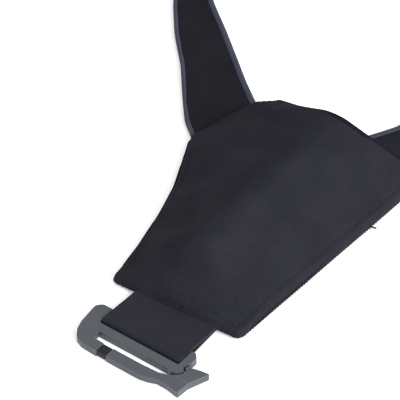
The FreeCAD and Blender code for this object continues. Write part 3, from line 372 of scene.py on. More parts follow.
@dataclass(frozen=True)
class Cloth(Finish):
    """A woven or knitted cloth, patterned along its own UV map in metres."""

    weave: Weave = Weave.KNIT
    pitch: float = 0.7 * MM
    relief: float = 0.12 * MM
    rubbed: Colour = (0.1, 0.1, 0.12)
    sheen: float = 0.0
    gloss: float = 0.03
    # Near-black colour painted into a mesh's holes, as the shade inside them.
    hole_shade: Colour | None = None

    def make(self, effects: Effects) -> bpy.types.Material:
        """Build the cloth's material from the shared effects.

        Args:
            effects: the node groups that every material shares.
        Returns:
            The material.
        """
        material, graph, shader = self.start()
        surface = graph.add("ShaderNodeUVMap", uv_map="Cloth").outputs["UV"]
        weave = effects.weaves[self.weave].use(graph, Vector=surface, Pitch=self.pitch)
        fuzz = effects.fuzz.use(graph, Vector=self.object_point(graph), Scale=1400.0)
        # Painted shade: where the weave is low, the colour drops to 0.62 of itself to stand for shade between
        # the threads. On the spacer mesh this mask is the holes' mask, so there the cords are the darker
        # ones.
        shaded = graph.mix(graph.spread(weave["Tone"], 0.0, 0.8),
                           tuple(c * 0.62 for c in self.colour), self.colour)
        tone = graph.math("MULTIPLY", fuzz["Rub"], 0.12)
        colour = graph.mix(tone, shaded, self.rubbed)
        colour = graph.mix(graph.math("MULTIPLY", fuzz["Speck"], 0.14), colour, self.rubbed)
        colour = graph.mix(graph.math("MULTIPLY", fuzz["Lint"], 0.35), colour, self.rubbed)
        # Painted shade: the mesh's holes take a near-black colour for the shade inside them.
        if self.hole_shade is not None:
            colour = graph.mix(weave["Tone"], colour, self.hole_shade)
        graph.feed(colour, shader.inputs["Base Color"])
        rough = graph.math("MULTIPLY_ADD", fuzz["Rub"], -0.1, self.roughness + 0.05)
        graph.feed(rough, shader.inputs["Roughness"])
        fibre = graph.bump(fuzz["Speck"], 0.05 * MM, 0.5)
        graph.feed(graph.bump(weave["Height"], self.relief, 0.8, fibre), shader.inputs["Normal"])
        shader.inputs["Sheen Weight"].default_value = self.sheen
        shader.inputs["Sheen Roughness"].default_value = 0.5
        shader.inputs["Specular IOR Level"].default_value = self.gloss
        return material


@dataclass(frozen=True)
class Moulding(Finish):
    """A moulded plastic or rubber, with mould grain and rubbed places."""

    grain: float = 0.03 * MM
    scale: float = 1500.0
    handled: float = 0.12
    scuff: Colour = (0.35, 0.35, 0.36)
    speculars: float = 0.5

    def make(self, effects: Effects) -> bpy.types.Material:
        """Build the plastic's material from the shared effects.

        Args:
            effects: the node groups that every material shares.
        Returns:
            The material.
        """
        material, graph, shader = self.start()
        point = self.object_point(graph)
        skin = effects.grain.use(graph, Vector=point, Scale=self.scale)
        tone = graph.mix(graph.math("MULTIPLY", skin["Handled"], 0.22), self.colour,
                         tuple(min(1.0, c * 1.35) for c in self.colour))
        colour = graph.mix(graph.math("MULTIPLY", skin["Scratch"], 0.22), tone, self.scuff)
        graph.feed(colour, shader.inputs["Base Color"])
        rough = graph.math("MULTIPLY_ADD", skin["Handled"], -self.handled, self.roughness + self.handled / 2)
        graph.feed(rough, shader.inputs["Roughness"])
        graph.feed(graph.bump(skin["Height"], self.grain, 0.6), shader.inputs["Normal"])
        shader.inputs["Specular IOR Level"].default_value = self.speculars
        return material


@dataclass(frozen=True)
class Metal(Finish):
    """A bare or wound metal, with fine lines across it."""

    line_pitch: float = 0.35 * MM
    line_axis: int = 0
    line_depth: float = 0.01 * MM

    def make(self, effects: Effects) -> bpy.types.Material:
        """Build the metal's material from the shared effects.

        Args:
            effects: the node groups that every material shares.
        Returns:
            The material.
        """
        material, graph, shader = self.start()
        point = self.object_point(graph)
        skin = effects.grain.use(graph, Vector=point, Scale=2200.0)
        along = graph.split(point)[self.line_axis]
        wave = graph.math("SINE", graph.math("MULTIPLY", along, TURN / self.line_pitch))
        lines = graph.math("MULTIPLY_ADD", wave, 0.5, 0.5)
        dull = tuple(c * 0.7 for c in self.colour)
        graph.feed(graph.mix(graph.math("MULTIPLY", skin["Handled"], 0.4), self.colour, dull),
                   shader.inputs["Base Color"])
        rough = graph.math("MULTIPLY_ADD", skin["Handled"], 0.15, self.roughness)
        graph.feed(rough, shader.inputs["Roughness"])
        under = graph.bump(lines, self.line_depth, 0.8)
        graph.feed(graph.bump(skin["Height"], 0.008 * MM, 0.5, under), shader.inputs["Normal"])
        shader.inputs["Metallic"].default_value = 1.0
        return material


@dataclass(frozen=True)
class Glazing(Finish):
    """A clear or tinted window."""

    clear: float = 1.0

    def make(self, effects: Effects) -> bpy.types.Material:
        """Build the window's material: clear, with faint smears in its gloss.

        Args:
            effects: the node groups that every material shares.
        Returns:
            The material.
        """
        material, graph, shader = self.start()
        skin = effects.grain.use(graph, Vector=self.object_point(graph), Scale=900.0)
        rough = graph.math("MULTIPLY_ADD", skin["Handled"], 0.08, self.roughness)
        graph.feed(rough, shader.inputs["Roughness"])
        graph.feed(graph.mix(graph.math("MULTIPLY", skin["Handled"], 0.1), self.colour, (0.6, 0.6, 0.6)),
                   shader.inputs["Base Color"])
        shader.inputs["Transmission Weight"].default_value = self.clear
        shader.inputs["IOR"].default_value = 1.49
        return material


class Finishes:
    """Every material, by the record's slot name or by the builder's own name."""

    def __init__(self) -> None:
        """Make all the finishes."""
        effects = Effects()
        every: dict[str, Finish] = {
            "pouch_fabric": Cloth("Pouch knit", srgb(39, 39, 46), 0.85, Weave.KNIT, 0.62 * MM, 0.10 * MM,
                                  srgb(59, 59, 70)),
            # The strap is the pouch's knit made darker: painted shade, for the strap lying turned away from
            # the light.
            "strap_fabric": Cloth("Shaded strap knit", srgb(33, 32, 38), 0.85, Weave.KNIT, 0.62 * MM, 0.12 * MM,
                                  srgb(46, 45, 53)),
            "webbing": Cloth("Black webbing", srgb(38, 38, 48), 0.6, Weave.WEBBING, 1.3 * MM, 0.09 * MM,
                             srgb(52, 52, 62), gloss=0.12),
            "binding": Cloth("Blue-grey tape", srgb(59, 63, 79), 0.7, Weave.TAPE, 0.55 * MM, 0.12 * MM,
                             srgb(88, 93, 108), 0.03, 0.08),
            "dark_binding": Cloth("Dark tape", srgb(24, 24, 30), 0.8, Weave.TAPE, 0.55 * MM, 0.12 * MM,
                                  srgb(42, 42, 52)),
            # The spacer mesh's near-black hole colour is painted shade.
            "spacer_mesh": Cloth("Spacer mesh", srgb(39, 40, 49), 0.8, Weave.MESH, 1.5 * MM, 0.4 * MM,
                                 srgb(66, 70, 84), 0.02, 0.05, hole_shade=srgb(10, 10, 13)),
            "thread": Cloth("Black thread", srgb(22, 22, 27), 0.7, Weave.TAPE, 0.3 * MM, 0.05 * MM,
                            srgb(44, 44, 52), 0.02, 0.08),
            "pale_thread": Cloth("Grey thread", srgb(84, 88, 102), 0.6, Weave.TAPE, 0.3 * MM, 0.05 * MM,
                                 srgb(120, 122, 132), 0.03, 0.1),
            "buckle_plastic": Moulding("Buckle plastic", srgb(70, 73, 79), 0.42, 0.02 * MM, 1300.0, 0.15,
                                       srgb(112, 114, 120), 0.35),
            "flexure": Moulding("Flexure plastic", srgb(30, 31, 34), 0.6, 0.04 * MM, 1100.0, speculars=0.2),
            "case_front": Moulding("Orange case", (0.93, 0.21, 0.015), 0.45, 0.03 * MM, 1600.0, 0.15,
                                   (0.95, 0.5, 0.25)),
            "case_back": Moulding("Black case", srgb(38, 39, 42), 0.5, 0.04 * MM, 1500.0),
            "rubber": Moulding("Grip rubber", srgb(30, 31, 33), 0.75, 0.06 * MM, 1200.0),
            "control": Moulding("Key rubber", srgb(58, 60, 64), 0.6, 0.04 * MM, 1500.0),
            "board": Moulding("Circuit board", srgb(20, 84, 52), 0.35, 0.02 * MM, 2500.0),
            "chip": Moulding("Chip body", srgb(26, 26, 28), 0.5, 0.02 * MM, 3000.0),
            "ferrite": Moulding("Ferrite", srgb(58, 56, 58), 0.7, 0.05 * MM, 2600.0),
            "cell": Moulding("Cell sleeve", srgb(70, 76, 86), 0.3, 0.01 * MM, 800.0),
            "display": Moulding("Display face", srgb(158, 168, 142), 0.35, 0.005 * MM, 2000.0),
            "ink": Moulding("Display ink", srgb(28, 32, 30), 0.4, 0.005 * MM, 2000.0),
            "print": Moulding("Key print", srgb(205, 207, 205), 0.5, 0.01 * MM, 1800.0),
            "window": Glazing("Window", (0.92, 0.94, 0.93), 0.03),
            "steel": Metal("Steel", (0.55, 0.56, 0.58), 0.28),
            "copper": Metal("Copper winding", (0.72, 0.3, 0.14), 0.32, 0.4 * MM, 0, 0.08 * MM),
        }
        self.every = {name: finish.make(effects) for name, finish in every.items()}
        self.every["floor"] = self.floor()

    @staticmethod
    def floor() -> bpy.types.Material:
        """Plain white floor."""
        material, graph, shader = Finish("Floor", (0.93, 0.93, 0.93), 0.9).start()
        tone = graph.spread(graph.noise(graph.add("ShaderNodeTexCoord").outputs["Object"], 3.0), 0.3, 0.7)
        graph.feed(graph.mix(tone, (0.92, 0.92, 0.92), (0.95, 0.95, 0.95)), shader.inputs["Base Color"])
        shader.inputs["Specular IOR Level"].default_value = 0.0
        shader.inputs["Emission Color"].default_value = (1.0, 1.0, 1.0, 1.0)
        shader.inputs["Emission Strength"].default_value = 0.28
        return material

    def __getitem__(self, name: str) -> bpy.types.Material:
        """The material of that name."""
        return self.every[name]


# ---------------------------------------------------------------- making pieces


@dataclass(frozen=True)
class Riding:
    """Where a piece belongs: its body, its record slot, its finish, and the CAD it stands for."""

    body: str
    slot: str
    finish: str = ""
    stands_for: tuple[str, ...] = ()


class Workshop:
    """Turns meshes into pieces of the object, and holds the finishes."""

    def __init__(self) -> None:
        """Make the finishes."""
        self.finishes = Finishes()

    def piece(self, name: str, shape: bmesh.types.BMesh, riding: Riding,
              flat: bool = False) -> bpy.types.Object:
        """Make an object from a mesh, dress it and put it on its body.

        Args:
            name: the piece's name.
            shape: its mesh, in metres in the row frame; it is freed.
            riding: its body, slot, finish and replaced nodes.
            flat: whether its faces stay flat-shaded.
        Returns:
            The new object.
        """
        if "Cloth" not in shape.loops.layers.uv:
            lay_flat(shape)
        mesh = bpy.data.meshes.new(name)
        for face in shape.faces:
            face.smooth = not flat
        shape.to_mesh(mesh)
        shape.free()
        made = bpy.data.objects.new(name, mesh)
        bpy.context.scene.collection.objects.link(made)
        mesh.materials.append(self.finishes[riding.finish or riding.slot])
        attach(made, riding.body)
        if riding.stands_for:
            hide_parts(*riding.stands_for)
        LOG.info("made %s: %d faces, on %s", name, len(mesh.polygons), riding.body)
        return made

    def refined(self, node: str, riding: Riding, radius: float, joined: bool = True) -> bpy.types.Object:
        """A merged copy of a CAD node with its edges rounded, standing for the node.

        Args:
            node: the CAD node's name.
            riding: body and slot.
            radius: edge radius in millimetres.
            joined: whether flat neighbouring faces become one; not where a face would be left with holes.
        Returns:
            The new object.
        """
        shape = bmesh.new()
        shape.from_mesh(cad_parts[node].data)
        bmesh.ops.remove_doubles(shape, verts=shape.verts, dist=2e-6)
        if joined:
            bmesh.ops.dissolve_limit(shape, angle_limit=math.radians(1.0), verts=shape.verts,
                                     edges=shape.edges)
        made = self.piece(f"{node}_finished", shape, Riding(riding.body, riding.slot, riding.finish, (node,)))
        add_bevel(made, radius, 3)
        even_normals(made)
        return made


def lay_flat(shape: bmesh.types.BMesh) -> None:
    """Give a mesh a UV map in metres, each face laid along the plane it faces most."""
    layer = shape.loops.layers.uv.new("Cloth")
    for face in shape.faces:
        lean = max(range(3), key=lambda axis: abs(face.normal[axis]))
        first, second = [axis for axis in range(3) if axis != lean]
        for loop in face.loops:
            loop[layer].uv = (loop.vert.co[first], loop.vert.co[second])


def add_bevel(piece: bpy.types.Object, radius: float, segments: int = 2, angle: float = 28.0) -> None:
    """Round a piece's edges.

    Args:
        piece: the piece.
        radius: the rounding, in millimetres.
        segments: steps in each rounded edge.
        angle: only edges that turn more than this many degrees are rounded.
    """
    bevel = piece.modifiers.new("Edges", "BEVEL")
    bevel.width = radius * MM
    bevel.segments = segments
    bevel.limit_method = "ANGLE"
    bevel.angle_limit = math.radians(angle)
    bevel.harden_normals = True


def even_normals(piece: bpy.types.Object) -> None:
    """Weight a bevelled piece's normals by face area, so that its flat faces shade flat."""
    piece.modifiers["Edges"].harden_normals = False
    even = piece.modifiers.new("Normals", "WEIGHTED_NORMAL")
    even.weight = 80
    even.keep_sharp = True


def add_thickness(piece: bpy.types.Object, thickness: float, offset: float = 0.0, even: bool = True) -> None:
    """Give a sheet its thickness.

    Args:
        piece: the sheet.
        thickness: in millimetres.
        offset: -1 puts it under the sheet, 0 on both sides.
        even: keeps it the same round a bend; off for creased cloth, where it would throw spikes.
    """
    solid = piece.modifiers.new("Thickness", "SOLIDIFY")
    solid.thickness = thickness * MM
    solid.offset = offset
    solid.use_even_offset = even


def apply_modifiers(piece: bpy.types.Object) -> None:
    """Replace a piece's mesh by what its modifiers make, and remove them."""
    evaluated = piece.evaluated_get(bpy.context.evaluated_depsgraph_get())
    result = bpy.data.meshes.new_from_object(evaluated)
    piece.modifiers.clear()
    piece.data = result


def along(points: Sequence[Point], count: int) -> np.ndarray:
    """Evenly spaced points along a polyline.

    Args:
        points: the polyline's points.
        count: how many points to return.
    Returns:
        The points, one a row.
    """
    given = np.array(points, float)
    run = np.concatenate([[0.0], np.cumsum(np.linalg.norm(np.diff(given, axis=0), axis=1))])
    at = np.linspace(0.0, run[-1], count)
    return np.stack([np.interp(at, run, given[:, axis]) for axis in range(given.shape[1])], axis=1)


def softened(points: Sequence[Point], count: int, passes: int = 12) -> np.ndarray:
    """Evenly spaced points along a polyline whose corners are eased; its ends stay."""
    line = along(points, count)
    for _ in range(passes):
        line[1:-1] = 0.25 * line[:-2] + 0.5 * line[1:-1] + 0.25 * line[2:]
    return along(line, count)


def rounded(corner: Point, first: float, last: float, radius: float, steps: int = 6) -> list[Point]:
    """Points on an arc about a corner's centre, between two angles in degrees."""
    angles = np.radians(np.linspace(first, last, steps))
    return [(corner[0] + radius * math.cos(a), corner[1] + radius * math.sin(a)) for a in angles]


def patch(bottom: np.ndarray, top: np.ndarray, left: np.ndarray, right: np.ndarray) -> np.ndarray:
    """Fill four boundary lines with a grid of points.

    Args:
        bottom, top: lines from left to right.
        left, right: lines from bottom to top.
    Returns:
        Array of points, by column and row.
    """
    u = np.linspace(0.0, 1.0, len(bottom))[:, None, None]
    v = np.linspace(0.0, 1.0, len(left))[None, :, None]
    across = (1 - v) * bottom[:, None] + v * top[:, None]
    along_ = (1 - u) * left[None] + u * right[None]
    corners = ((1 - u) * (1 - v) * bottom[0] + u * (1 - v) * bottom[-1]
               + (1 - u) * v * top[0] + u * v * top[-1])
    return across + along_ - corners


def spread_grid(points: np.ndarray, close: bool = False) -> bmesh.types.BMesh:
    """A grid laid through points in millimetres, with a UV map in metres.

    Args:
        points: by column, row and axis.
        close: whether the last row joins the first, and the ends are filled.
    Returns:
        The mesh.
    """
    columns, rows = points.shape[0] - 1, points.shape[1] - 1
    shape = bmesh.new()
    bmesh.ops.create_grid(shape, x_segments=columns, y_segments=rows, size=0.5)
    layer = shape.loops.layers.uv.new("Cloth")
    steps_u = np.linalg.norm(np.diff(points, axis=0), axis=2).mean(axis=1)
    steps_v = np.linalg.norm(np.diff(points, axis=1), axis=2).mean(axis=0)
    run_u = np.concatenate([[0.0], np.cumsum(steps_u)]) * MM
    run_v = np.concatenate([[0.0], np.cumsum(steps_v)]) * MM
    for vert in shape.verts:
        i = round((vert.co.x + 0.5) * columns)
        j = round((vert.co.y + 0.5) * rows)
        for loop in vert.link_loops:
            loop[layer].uv = (run_u[i], run_v[j])
        vert.co = mm(*points[i, j])
    if close:
        bmesh.ops.remove_doubles(shape, verts=shape.verts, dist=1e-6)
        rims = [edge for edge in shape.edges if edge.is_boundary]
        bmesh.ops.holes_fill(shape, edges=rims)
        bmesh.ops.recalc_face_normals(shape, faces=shape.faces)
    return shape


def ribbon(path: np.ndarray, sides: np.ndarray, width: float, across: int = 6) -> bmesh.types.BMesh:
    """A flat band.

    Args:
        path: points of its middle line, in millimetres.
        sides: unit direction of its width at each point.
        width: its width in millimetres.
        across: faces over its width.
    Returns:
        The band's mesh, one sheet thick.
    """
    reach = np.linspace(-0.5, 0.5, across + 1) * width
    return spread_grid(path[:, None] + sides[:, None] * reach[None, :, None])


def swept(path: np.ndarray, sides: np.ndarray, ups: np.ndarray, width: float,
          height: float, around: int = 12, squareness: float = 0.55) -> bmesh.types.BMesh:
    """A closed rounded-oblong section run along a path.

    Args:
        path: points in millimetres.
        sides, ups: unit directions of the section's width and height at each point.
        width, height: the section's size in millimetres.
        around: faces round the section.
        squareness: 1 is an ellipse, less is squarer.
    Returns:
        The closed mesh.
    """
    angle = np.linspace(0.0, TURN, around + 1)
    across = np.sign(np.cos(angle)) * np.abs(np.cos(angle)) ** squareness * width / 2
    up = np.sign(np.sin(angle)) * np.abs(np.sin(angle)) ** squareness * height / 2
    points = path[:, None] + sides[:, None] * across[None, :, None] + ups[:, None] * up[None, :, None]
    return spread_grid(points, close=True)


def tangents(path: np.ndarray) -> np.ndarray:
    """Unit direction of a path at each of its points."""
    run = np.gradient(path, axis=0)
    return run / np.linalg.norm(run, axis=1)[:, None]


def unit(vectors: np.ndarray) -> np.ndarray:
    """Each row scaled to length one."""
    return vectors / np.linalg.norm(vectors, axis=1)[:, None]


def stitches(path: np.ndarray, ups: np.ndarray, length: float = 2.4, gap: float = 0.9,
             thick: float = 0.5) -> bmesh.types.BMesh:
    """A row of thread stitches lying on a surface.

    Args:
        path: the seam's line in millimetres.
        ups: unit surface normal at each point.
        length, gap: stitch and space in millimetres.
        thick: thread thickness in millimetres.
    Returns:
        The stitches' mesh.
    """
    shape = bmesh.new()
    run = np.concatenate([[0.0], np.cumsum(np.linalg.norm(np.diff(path, axis=0), axis=1))])
    forward = tangents(path)
    at = length / 2 + gap / 2
    while at < run[-1] - length / 2:
        centre = Vector([np.interp(at, run, path[:, axis]) for axis in range(3)]) * MM
        ahead = Vector([np.interp(at, run, forward[:, axis]) for axis in range(3)]).normalized()
        up = Vector([np.interp(at, run, ups[:, axis]) for axis in range(3)]).normalized()
        side = up.cross(ahead).normalized()
        up = ahead.cross(side)
        turn = Matrix((ahead, side, up)).transposed().to_4x4()
        size = Matrix.Diagonal((length / 2 * MM, thick / 2 * MM, thick / 2 * MM, 1.0))
        bmesh.ops.create_icosphere(shape, subdivisions=1, radius=1.0,
                                   matrix=Matrix.Translation(centre) @ turn @ size)
        at += length + gap
    return shape


def upward(path: np.ndarray) -> np.ndarray:
    """The +Z direction, once for each point of a path."""
    return np.tile((0.0, 0.0, 1.0), (len(path), 1))


def raised(points: np.ndarray, height: float) -> np.ndarray:
    """Plan points put at one height."""
    return np.concatenate([points, np.full((len(points), 1), height)], axis=1)


def plan_normal(path: np.ndarray) -> np.ndarray:
    """Unit direction in plan, to the left of a path, at each of its points."""
    run = tangents(path)
    return unit(np.stack([-run[:, 1], run[:, 0], np.zeros(len(run))], axis=1))


# ---------------------------------------------------------------- the pouch

@dataclass
class Outline:
    """The panel's edge in plan, in millimetres."""

    near_left: Point = (-81.8, -37.6)
    near_right: Point = (78.4, -48.3)
    far_right: Point = (82.0, 54.0)
    far_left: Point = (-86.0, 40.0)
    corner: float = 3.4
    inset: float = 0.0

    def near(self, count: int) -> np.ndarray:
        """Lower long edge, left to right."""
        x, y = self.near_left[0] + self.inset, self.near_left[1] + self.inset
        turn = rounded((x + self.corner, y + self.corner), 225, 268, self.corner)
        return along(turn + [self.corner_of_mouth(-1)], count)

    def left(self, count: int) -> np.ndarray:
        """Closed short edge, bottom to top."""
        x, y = self.near_left[0] + self.inset, self.near_left[1] + self.inset
        low = rounded((x + self.corner, y + self.corner), 225, 180, self.corner)
        high_x, high_y = self.far_left[0] + self.inset, self.far_left[1] - self.inset
        high = rounded((high_x + self.corner, high_y - self.corner), 180, 135, self.corner)
        return along(low + high, count)

    def far(self, count: int) -> np.ndarray:
        """Upper edge: an S curve up to the strap's foot, over it, and down to the mouth."""
        x, y = self.far_left[0] + self.inset, self.far_left[1] - self.inset
        turn = rounded((x + self.corner, y - self.corner), 135, 96, self.corner)
        curve = [(-74.0, 40.6), (-57.0, 43.2), (-31.7, 49.3), (-7.9, 57.2), (12.0, 66.6),
                 (28.0, 74.3), (52.0, 69.4), (75.0, 63.2)]
        line = turn + [(px, py - self.inset) for px, py in curve] + [self.corner_of_mouth(1)]
        return softened(line, count, 3)

    def right(self, count: int) -> np.ndarray:
        """Mouth edge of the panel, bottom to top."""
        return along([self.corner_of_mouth(-1), self.corner_of_mouth(1)], count)

    def corner_of_mouth(self, side: int) -> Point:
        """The mouth's near (-1) or far (1) corner, moved in by the inset."""
        x, y = self.near_right if side < 0 else self.far_right
        return x - self.inset * 0.3, y - side * self.inset


@dataclass(frozen=True)
class Fold:
    """A crease or swell in cloth: a line in plan with a width and a height, in millimetres."""

    start: Point
    end: Point
    width: float
    height: float

    def lift(self, x: np.ndarray, y: np.ndarray) -> np.ndarray:
        """How far the cloth is lifted at plan points."""
        ax, ay = self.start
        dx, dy = self.end[0] - ax, self.end[1] - ay
        share = ((x - ax) * dx + (y - ay) * dy) / (dx * dx + dy * dy)
        held = np.clip(share, 0.0, 1.0)
        away = (x - ax - held * dx) ** 2 + (y - ay - held * dy) ** 2
        taper = np.sin(np.pi * np.clip(share * 0.9 + 0.05, 0.0, 1.0)) ** 0.7
        return self.height * taper * np.exp(-away / self.width ** 2)


@dataclass
class Pouch:
    """The front of the pouch: one knit panel drawn over the transceiver, open at its mouth."""

    shop: Workshop
    outline: Outline = field(default_factory=Outline)
    columns: int = 120
    rows: int = 84
    clearance: float = 1.5
    thickness: float = 0.9
    hem_height: float = 4.4
    hem_foot: float = 0.9
    hem_turn: float = 2.4
    seam_inset: float = 4.0
    pull_passes: int = 1400
    ease_passes: int = 6
    settle_frames: int = 16
    most_settled: float = 4.0
    section: tuple[Point, ...] = ((-33.6, 3.9), (-32.2, 10.4), (2.3, 27.4), (9.6, 27.4), (32.6, 13.2),
                                  (33.6, 3.9))
    case_start: float = -62.5
    hood_end: float = 66.0
    beside_case: float = -50.0
    folds: tuple[Fold, ...] = (
        Fold((26.0, 10.0), (54.0, -28.0), 9.0, 1.9),
        Fold((52.0, 10.0), (66.0, -16.0), 6.0, -0.7),
        Fold((36.0, 40.0), (56.0, 36.0), 4.0, -1.2),
        Fold((58.0, 44.0), (72.0, 34.0), 5.0, 1.0),
        Fold((30.0, 62.0), (14.0, 34.0), 5.5, 0.9),
        Fold((8.0, 54.0), (-14.0, 34.0), 6.0, -0.9),
        Fold((-20.0, 46.0), (-46.0, 28.0), 5.5, 0.8),
        Fold((-70.0, -10.0), (-46.0, 2.0), 6.0, 0.9),
        Fold((70.0, -34.0), (46.0, -24.0), 4.5, -0.6),
    )

    def case_height(self, y: np.ndarray) -> np.ndarray:
        """Height of the case's section, with the cloth's clearance, at plan points across it."""
        ys = [point[0] for point in self.section]
        zs = [point[1] for point in self.section]
        return np.interp(y, ys, zs, left=self.beside_case, right=self.beside_case)

    def resting(self, x: np.ndarray, y: np.ndarray) -> np.ndarray:
        """Lowest height that the cloth can have over the case and its hood.

        Args:
            x, y: plan points, in millimetres.
        Returns:
            The height at each; far below the floor where nothing is underneath.
        """
        closed = np.clip((x - self.case_start) / 3.0, 0.0, 1.0)
        ends = closed * np.clip((self.hood_end + 1 - x) / 2.0, 0.0, 1.0)
        return np.where(ends > 0, self.case_height(y) * ends + (1 - ends) * 3.0, self.beside_case)

    def mouth(self, count: int) -> np.ndarray:
        """Free edge of the mouth, over the case's section, bottom to top."""
        x0, y0 = self.outline.near_right
        x1, y1 = self.outline.far_right
        line = [(x0, y0, self.hem_height), (75.5, -41.0, 6.6), (72.5, -33.0, 11.0), (69.5, -18.0, 17.8),
                (66.4, 0.0, 26.4), (65.6, 6.0, 27.6), (66.0, 12.0, 26.8), (69.0, 24.0, 21.0),
                (71.6, 33.0, 16.6), (75.0, 43.0, 12.4), (79.0, 50.0, 8.0), (x1, y1, self.hem_height)]
        return softened(line, count, 8)

    def boundary(self) -> tuple[np.ndarray, ...]:
        """Near, far, left and mouth lines of the cloth, with their heights."""
        near = raised(self.outline.near(self.columns + 1), self.hem_height)
        far = raised(self.outline.far(self.columns + 1), self.hem_height)
        left = raised(self.outline.left(self.rows + 1), self.hem_height)
        return near, far, left, self.mouth(self.rows + 1)

    def drawn(self) -> np.ndarray:
        """Pull the cloth taut over the case.

        Returns:
            A grid of points, in millimetres.
        """
        points = patch(*self.boundary())
        rim = points[:, :, 2].copy()
        x, y = points[:, :, 0], points[:, :, 1]
        under = self.resting(x, y)
        z = np.maximum(rim, under)
        floor_of_cloth = self.hem_height - 0.3
        for _ in range(self.pull_passes):
            new = 0.25 * (z[:-2, 1:-1] + z[2:, 1:-1] + z[1:-1, :-2] + z[1:-1, 2:])
            z[1:-1, 1:-1] = np.maximum(np.maximum(new, under[1:-1, 1:-1]), floor_of_cloth)
        for _ in range(self.ease_passes):
            z[1:-1, 1:-1] = 0.2 * (z[:-2, 1:-1] + z[2:, 1:-1] + z[1:-1, :-2] + z[1:-1, 2:] + z[1:-1, 1:-1])
        points[:, :, 2] = z
        return points

    def slack(self, piece: bpy.types.Object, held: np.ndarray) -> None:
        """Let the drawn cloth settle with a little spare length, by simulation.

        Args:
            piece: the cloth, one sheet thick.
            held: for each vertex, 1 where it is sewn and 0 where it is free.
        """
        scene = bpy.context.scene
        group = piece.vertex_groups.new(name="Sewn")
        for index in np.nonzero(held > 0.5)[0]:
            group.add([int(index)], 1.0, "REPLACE")
        start = np.array([vert.co for vert in piece.data.vertices])
        form = piece.copy()
        form.data = piece.data.copy()
        for vert, where in zip(form.data.vertices, start):
            vert.co = Vector(where) - Vector((0.0, 0.0, 1.1 * MM))
        scene.collection.objects.link(form)
        form.modifiers.new("Under", "COLLISION")
        form.collision.thickness_outer = 0.3 * MM
        cloth = piece.modifiers.new("Settle", "CLOTH")
        settings = cloth.settings
        settings.quality = 6
        settings.mass = 0.3
        settings.tension_stiffness = 25.0
        settings.compression_stiffness = 25.0
        settings.shear_stiffness = 8.0
        settings.bending_stiffness = 0.35
        settings.air_damping = 4.0
        settings.shrink_min = -0.016
        settings.shrink_max = -0.016
        settings.vertex_group_mass = "Sewn"
        cloth.collision_settings.distance_min = 0.3 * MM
        cloth.collision_settings.use_self_collision = False
        cloth.point_cache.frame_start = 1
        cloth.point_cache.frame_end = self.settle_frames
        for number in range(1, self.settle_frames + 1):
            scene.frame_set(number)
        apply_modifiers(piece)
        scene.frame_set(1)
        bpy.data.objects.remove(form)
        ended = np.array([vert.co for vert in piece.data.vertices])
        moved = ended - start
        far = np.linalg.norm(moved, axis=1)
        limit = self.most_settled * MM
        moved *= (np.tanh(far / limit) * limit / np.maximum(far, 1e-9))[:, None]
        moved[:, 2] = np.maximum(moved[:, 2], -0.9 * MM)
        LOG.info("cloth settled: moved up to %.1f mm", 1000 * far.max())
        for vert, where in zip(piece.data.vertices, start + moved):
            vert.co = Vector(where)

    def hem(self, piece: bpy.types.Object) -> None:
        """Turn the sewn edges down over the panel, or onto the strap's foot, and press the stitch line.

        Args:
            piece: the cloth, whose vertices are moved.
        """
        rim = np.concatenate([along(line, 400) for line in (self.outline.near(400), self.outline.left(400),
                                                            self.outline.far(400))])
        lines = np.array([vert.co for vert in piece.data.vertices]) / MM
        for vert, where in zip(piece.data.vertices, lines):
            away = math.sqrt(((rim - where[:2]) ** 2).sum(axis=1).min())
            if away > 7.0:
                continue
            on_strap = 29.0 < where[0] < 75.0 and where[1] > 60.0
            low = 3.0 if on_strap else self.hem_foot
            share = min(1.0, away / self.hem_turn)
            drop = (self.hem_height - low) * (1.0 - math.sqrt(1.0 - (1.0 - share) ** 2))
            groove = 0.3 * math.exp(-((away - self.seam_inset) / 0.6) ** 2)
            vert.co.z -= (drop + groove) * MM

    def cut(self) -> tuple[float, float, float]:
        """The panel as cut flat: its plan outline, and the hem turned down on its three sewn sides.

        Returns:
            Width, length and area, in metres and square metres.
        """
        sewn = [self.outline.near(300), self.outline.left(200), self.outline.far(300)]
        rim = np.concatenate([sewn[0], sewn[2][::-1], sewn[1][::-1]])
        x, y = rim[:, 0], rim[:, 1]
        plan = abs(float(np.dot(x, np.roll(y, -1)) - np.dot(y, np.roll(x, -1)))) / 2
        run = sum(float(np.linalg.norm(np.diff(line, axis=0), axis=1).sum()) for line in sewn)
        turn = self.hem_height - self.hem_foot
        width, length = float(np.ptp(y)) + 2 * turn, float(np.ptp(x)) + turn
        return width * MM, length * MM, (plan + run * turn) * MM * MM

    def build(self) -> bpy.types.Object:
        """Returns:
            The cloth.
        """
        shape = spread_grid(self.drawn())
        riding = Riding("harness", "pouch_fabric", "", ("pouch_front",))
        piece = self.shop.piece("pouch_cloth", shape, riding)
        self.slack(piece, self.sewn(piece))
        for vert in piece.data.vertices:
            x, y = vert.co.x / MM, vert.co.y / MM
            ease = min(1.0, max(0.0, (vert.co.z / MM - self.hem_height) / 2.5))
            lift = sum(float(fold.lift(np.array(x), np.array(y))) for fold in self.folds)
            held = float(self.resting(np.array(x), np.array(y))) - 0.2
            vert.co.z = max(vert.co.z + lift * ease * MM, held * MM)
        smooth = piece.modifiers.new("Smooth", "SUBSURF")
        smooth.levels = 1
        smooth.render_levels = 1
        apply_modifiers(piece)
        self.hem(piece)
        add_thickness(piece, self.thickness, -1.0, even=False)
        width, length, area = self.cut()
        LOG.info("cloth cut %.4f x %.4f m, %.5f m2", width, length, area)
        return piece

    def sewn(self, piece: bpy.types.Object) -> np.ndarray:
        """For each vertex of the cloth, 1 where it is sewn down or stiffened by the mouth's tape."""
        rim = np.concatenate(self.boundary())
        where = np.array([vert.co for vert in piece.data.vertices]) / MM
        away = np.array([((rim - one) ** 2).sum(axis=1).min() for one in where])
        return (away < 0.8).astype(float)

